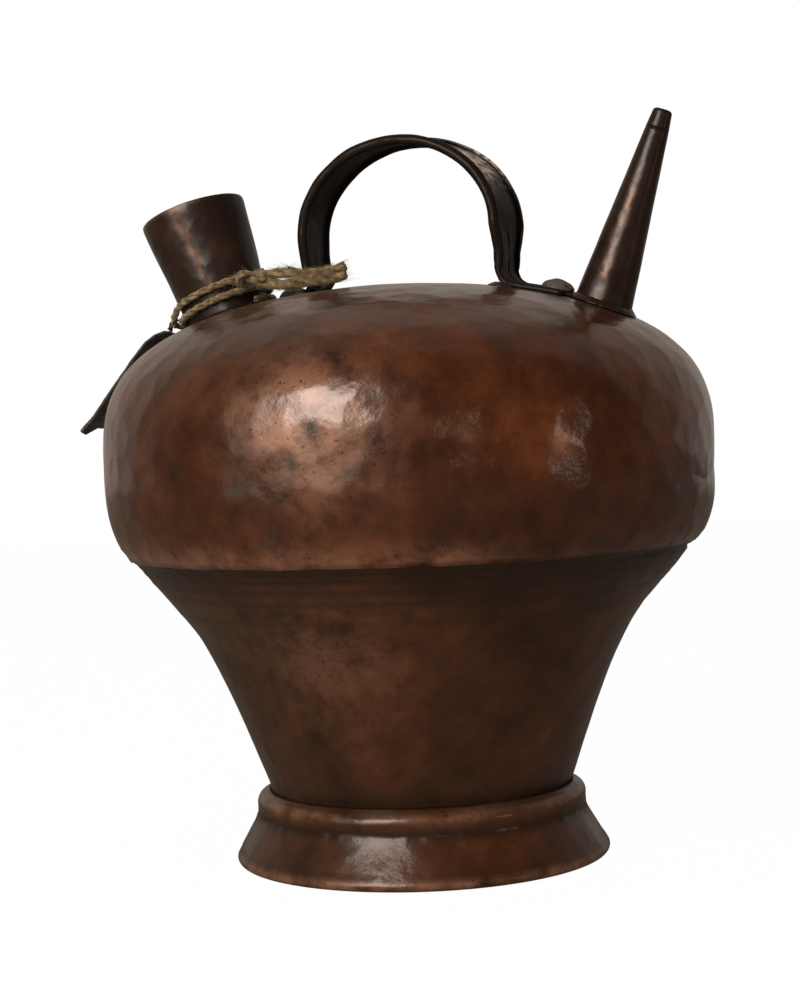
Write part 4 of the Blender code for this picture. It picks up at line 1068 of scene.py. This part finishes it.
def strap_shape(base, route):
    """Rings of the handle: the wired beads of the grip run down the legs and die away into the flat feet."""
    bead_y = HANDLE_WIDTH / 2 - HANDLE_BEAD_RADIUS
    rings = []
    for index, (x, z) in enumerate(route):
        run = run_at(route, index)
        normal = Vector((-run.y, 0, run.x))
        flat = 1 - fade(z, FOOT_FLAT_LEVEL, HANDLE_GRIP_END_LEVEL - 0.002)
        size = 1 - BEAD_LOSS * flat
        edge = bead_y + flat * (LEFT_FOOT_WIDER if x < HANDLE_CENTRE_X else RIGHT_FOOT_WIDER)
        tilt = STRAP_TILT * (1 - fade(z, FOOT_FLAT_LEVEL, 0.2460)) * (1 - fade(x, 0.0620, 0.0700))
        sink = STRAP_SINK * (1 - fade(z, FOOT_FLAT_LEVEL, 0.2450))
        plate = 1 + flat * (HANDLE_FOOT_PLATE / HANDLE_PLATE - 1)
        ring = []
        for out, side in base:
            beyond = abs(side) - bead_y
            if beyond > -HANDLE_BEAD_RADIUS:
                out, reach = out * size, edge + beyond * size
            else:
                out *= plate
                reach = abs(side) * (edge - HANDLE_BEAD_RADIUS * size) / (bead_y - HANDLE_BEAD_RADIUS)
            side = copysign(reach, side)
            point = Vector((x, side, z)) + normal * out + arch_bend(side, z, normal)
            point.z += crown_height(hypot(x, side)) - crown_height(abs(x)) if flat > 0.99 else 0
            point.z += tilt * (side + edge) - sink
            ring.append(point)
        rings.append(ring)
    return rings


def rivet_place(x):
    turn = crown_slope(x) if x > 0 else -crown_slope(x)
    return Matrix.Translation(Vector((x, 0, crown_height(abs(x))))) @ Matrix.Rotation(turn, 4, "Y")


def build_handle():
    bm = skin(strap_shape(grip_section(), strap_route()), closed_ends=True)
    bmesh.ops.recalc_face_normals(bm, faces=bm.faces)
    work_surface(bm, lambda p: waver(p, 0.010, 0.00025) + hammer(p, 0.006, 0.00010))
    strap = add_piece("handle_strap_worked", bm, DARK_COPPER, "handle_strap")

    def from_rub_and_highlight(p):
        return Vector((p.x - RUB_AND_HIGHLIGHT_PLACE.x, p.y * 0.3, p.z - RUB_AND_HIGHLIGHT_PLACE.z)).length

    # Painted shade at the feet and over the handle away from the scuffed patch, which is painted pale as a highlight
    mark(strap, grime=lambda p: 0.7 * glow(p.z - FOOT_FLAT_LEVEL, 0.006) + 0.45 * (1 - glow(from_rub_and_highlight(p), 0.02)),
         worn=lambda p: (1.5 * glow(from_rub_and_highlight(p), 0.0115) * fade(p.y, -0.0112, -0.0092)
                         * min(patch(p, 0.0020, 0.8, 2.5), 1)))
    seat = FIT + HANDLE_FOOT_PLATE + FIT - 0.0007
    below = -SHEET - FIT * 2 - ROVE_THICKNESS - FIT
    head = RIVET_HEAD_HEIGHT * HEAD_SPREAD + 0.0009
    profile = [(RIVET_HEAD_RADIUS * HEAD_SPREAD * r, seat + head * z)
               for r, z in arc_points((0, 0), 1, 90, 0, HEAD_STEPS)]
    profile[0] = (0, seat + head)
    profile += [(RIVET_SHANK_RADIUS, seat), (RIVET_SHANK_RADIUS, below), (RIVET_TAIL_RADIUS, below),
                (RIVET_TAIL_RADIUS / 2, below - RIVET_TAIL_HEIGHT), (0, below - RIVET_TAIL_HEIGHT)]
    for name, _, _, x in FEET:
        bm = lathe(refine(profile, 0.0008), RIVET_SIDES, rivet_place(x))
        work_surface(bm, lambda p: waver(p, 0.0035, 0.00035) if p.z > crown_height(abs(x)) + 0.001 else 0)
        node_name = "handle_rivet_" + name
        rivet = add_piece(node_name + "_worked", bm, DARK_COPPER, node_name)
        mark(rivet, worn=lambda p: RIVET_WEAR)


def lumpy_copy(node_name, name, material, voxel, bump_at, body="jug"):
    """A finer, rounder copy of a CAD solid, remeshed and then worked."""
    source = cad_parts[node_name]
    copy = new_object(name, source.data.copy())
    copy.data.transform(source.matrix_world)
    modifier = copy.modifiers.new("fine", "REMESH")
    modifier.mode, modifier.voxel_size = "VOXEL", voxel
    soften = copy.modifiers.new("soften", "SMOOTH")
    soften.factor, soften.iterations = 0.5, 4
    bm = bmesh.new()
    bm.from_mesh(evaluated_mesh(copy))
    bpy.data.objects.remove(copy)
    work_surface(bm, bump_at)
    return add_piece(name, bm, material, node_name, body)


LUMP_SINK = 0.0009
TAG_BEND = Vector((0.0022, 0, -0.0010))

build_handle()
for place in ("left_front", "left_back", "right_front", "right_back"):
    lump = "handle_solder_" + place
    piece = lumpy_copy(lump, lump + "_lump", SOLDER, 0.00045, lambda p: waver(p, 0.0025, 0.0005))
    for vertex in piece.data.vertices:
        vertex.co.z -= LUMP_SINK
tag = lumpy_copy("hang_tag", "hang_tag_worked", LEATHER, 0.00035,
                 lambda p: waver(p, 0.012, 0.0003) + waver(p, 0.003, 0.00010), "tag")
tag_levels = [vertex.co.z for vertex in tag.data.vertices]
tag_top, tag_end = max(tag_levels), min(tag_levels)
for vertex in tag.data.vertices:
    vertex.co += TAG_BEND * ((tag_top - vertex.co.z) / (tag_top - tag_end)) ** 2

# Solids that stay as they are, out of sight
for material, hidden in ((CUP_COPPER, ("floor_disc",)), (SOLDER, ("seam_solder", "foot_solder")),
                         (IRON, ("foot_rim_wire", "handle_edge_wire_front", "handle_edge_wire_back")),
                         (COPPER, ("rivet_rove_left", "rivet_rove_right"))):
    for node_name in hidden:
        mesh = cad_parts[node_name].data
        mesh.materials.clear()
        mesh.materials.append(material)


# Floor, world and lamps
def build_floor():
    """A pale floor that shows white, with a soft shadow, and throws a little warm light back up."""
    bm = bmesh.new()
    bmesh.ops.create_circle(bm, cap_ends=True, segments=96, radius=3.0)
    floor = object_from(bm, "floor")
    material, tree = with_tree(bpy.data.materials.new("pale_floor"))
    path = node("LightPath", tree=tree).outputs
    plain = calc("MAXIMUM", path["Is Camera Ray"], path["Is Transmission Ray"])
    seen = calc("MAXIMUM", plain, path["Is Glossy Ray"])
    lit = node("BsdfDiffuse", {"Color": (0.86, 0.86, 0.86, 1)}, tree).outputs[0]
    pale = tint(plain, (1, 0.82, 0.64, 1), (1, 1, 1, 1))
    white = node("Emission", {"Color": pale, "Strength": calc("MAXIMUM", plain, 0.14)}).outputs[0]
    mixed = node("MixShader", {0: times(seen, 0.985), 1: lit, 2: white}).outputs[0]
    node("OutputMaterial", {"Surface": mixed})
    floor.data.materials.append(material)


def build_world():
    """White where it is seen directly; in reflections the room is dark in front and bright behind the jug."""
    bpy.context.scene.world, tree = with_tree(bpy.data.worlds.new("studio"))
    path = node("LightPath", tree=tree).outputs
    toward = node("TexCoord", tree=tree).outputs["Generated"]
    away = (-sin(CAMERA_YAW), cos(CAMERA_YAW), 0.25)
    depth = node("VectorMath", {0: toward, 1: away}, operation="DOT_PRODUCT").outputs["Value"]
    room = span(depth, -0.10, 0.80, 0.03, 0.43)
    seen = calc("MAXIMUM", path["Is Camera Ray"], path["Is Transmission Ray"])
    level = calc("MAXIMUM", seen, times(path["Is Diffuse Ray"], 0.50))
    level = calc("MAXIMUM", level, times(path["Is Glossy Ray"], room))
    warm = tint(path["Is Glossy Ray"], (1, 0.95, 0.88, 1), (1, 0.87, 0.76, 1))
    warm = tint(seen, warm, (1, 1, 1, 1))
    sky = node("Background", {"Color": warm, "Strength": level}).outputs[0]
    node("OutputWorld", {"Surface": sky})


BELLY_AIM = 0.16


def add_lamp(name, azimuth, elevation, distance, width, height, radiance, colour):
    """An area lamp that faces the jug's belly; azimuth 0 is the front, and positive is to the right."""
    data = bpy.data.lights.new(name, "AREA")
    data.shape = "RECTANGLE"
    data.size, data.size_y = width, height
    data.energy = radiance * pi * width * height
    data.color = colour
    lamp = new_object(name, data)
    side, rise = radians(azimuth), radians(elevation)
    out = Vector((sin(side) * cos(rise), -cos(side) * cos(rise), sin(rise)))
    lamp.location = Vector((0, 0, BELLY_AIM)) + out * distance
    lamp.rotation_euler = out.to_track_quat("Z", "Y").to_euler()


build_floor()
build_world()
add_lamp("window", -10, 27, 1.6, 0.74, 0.82, 10.8, (1.0, 0.95, 0.88))
add_lamp("curtain", -17, 16, 1.7, 1.45, 1.15, 1.5, (1.0, 0.90, 0.78))
add_lamp("small_window", 41, 11, 1.6, 0.07, 0.09, 17.0, (1.0, 0.66, 0.46))
add_lamp("far_window", 77, 5, 1.6, 0.05, 0.26, 19.0, (1.0, 0.80, 0.66))
bpy.context.scene.view_settings.view_transform = "Standard"
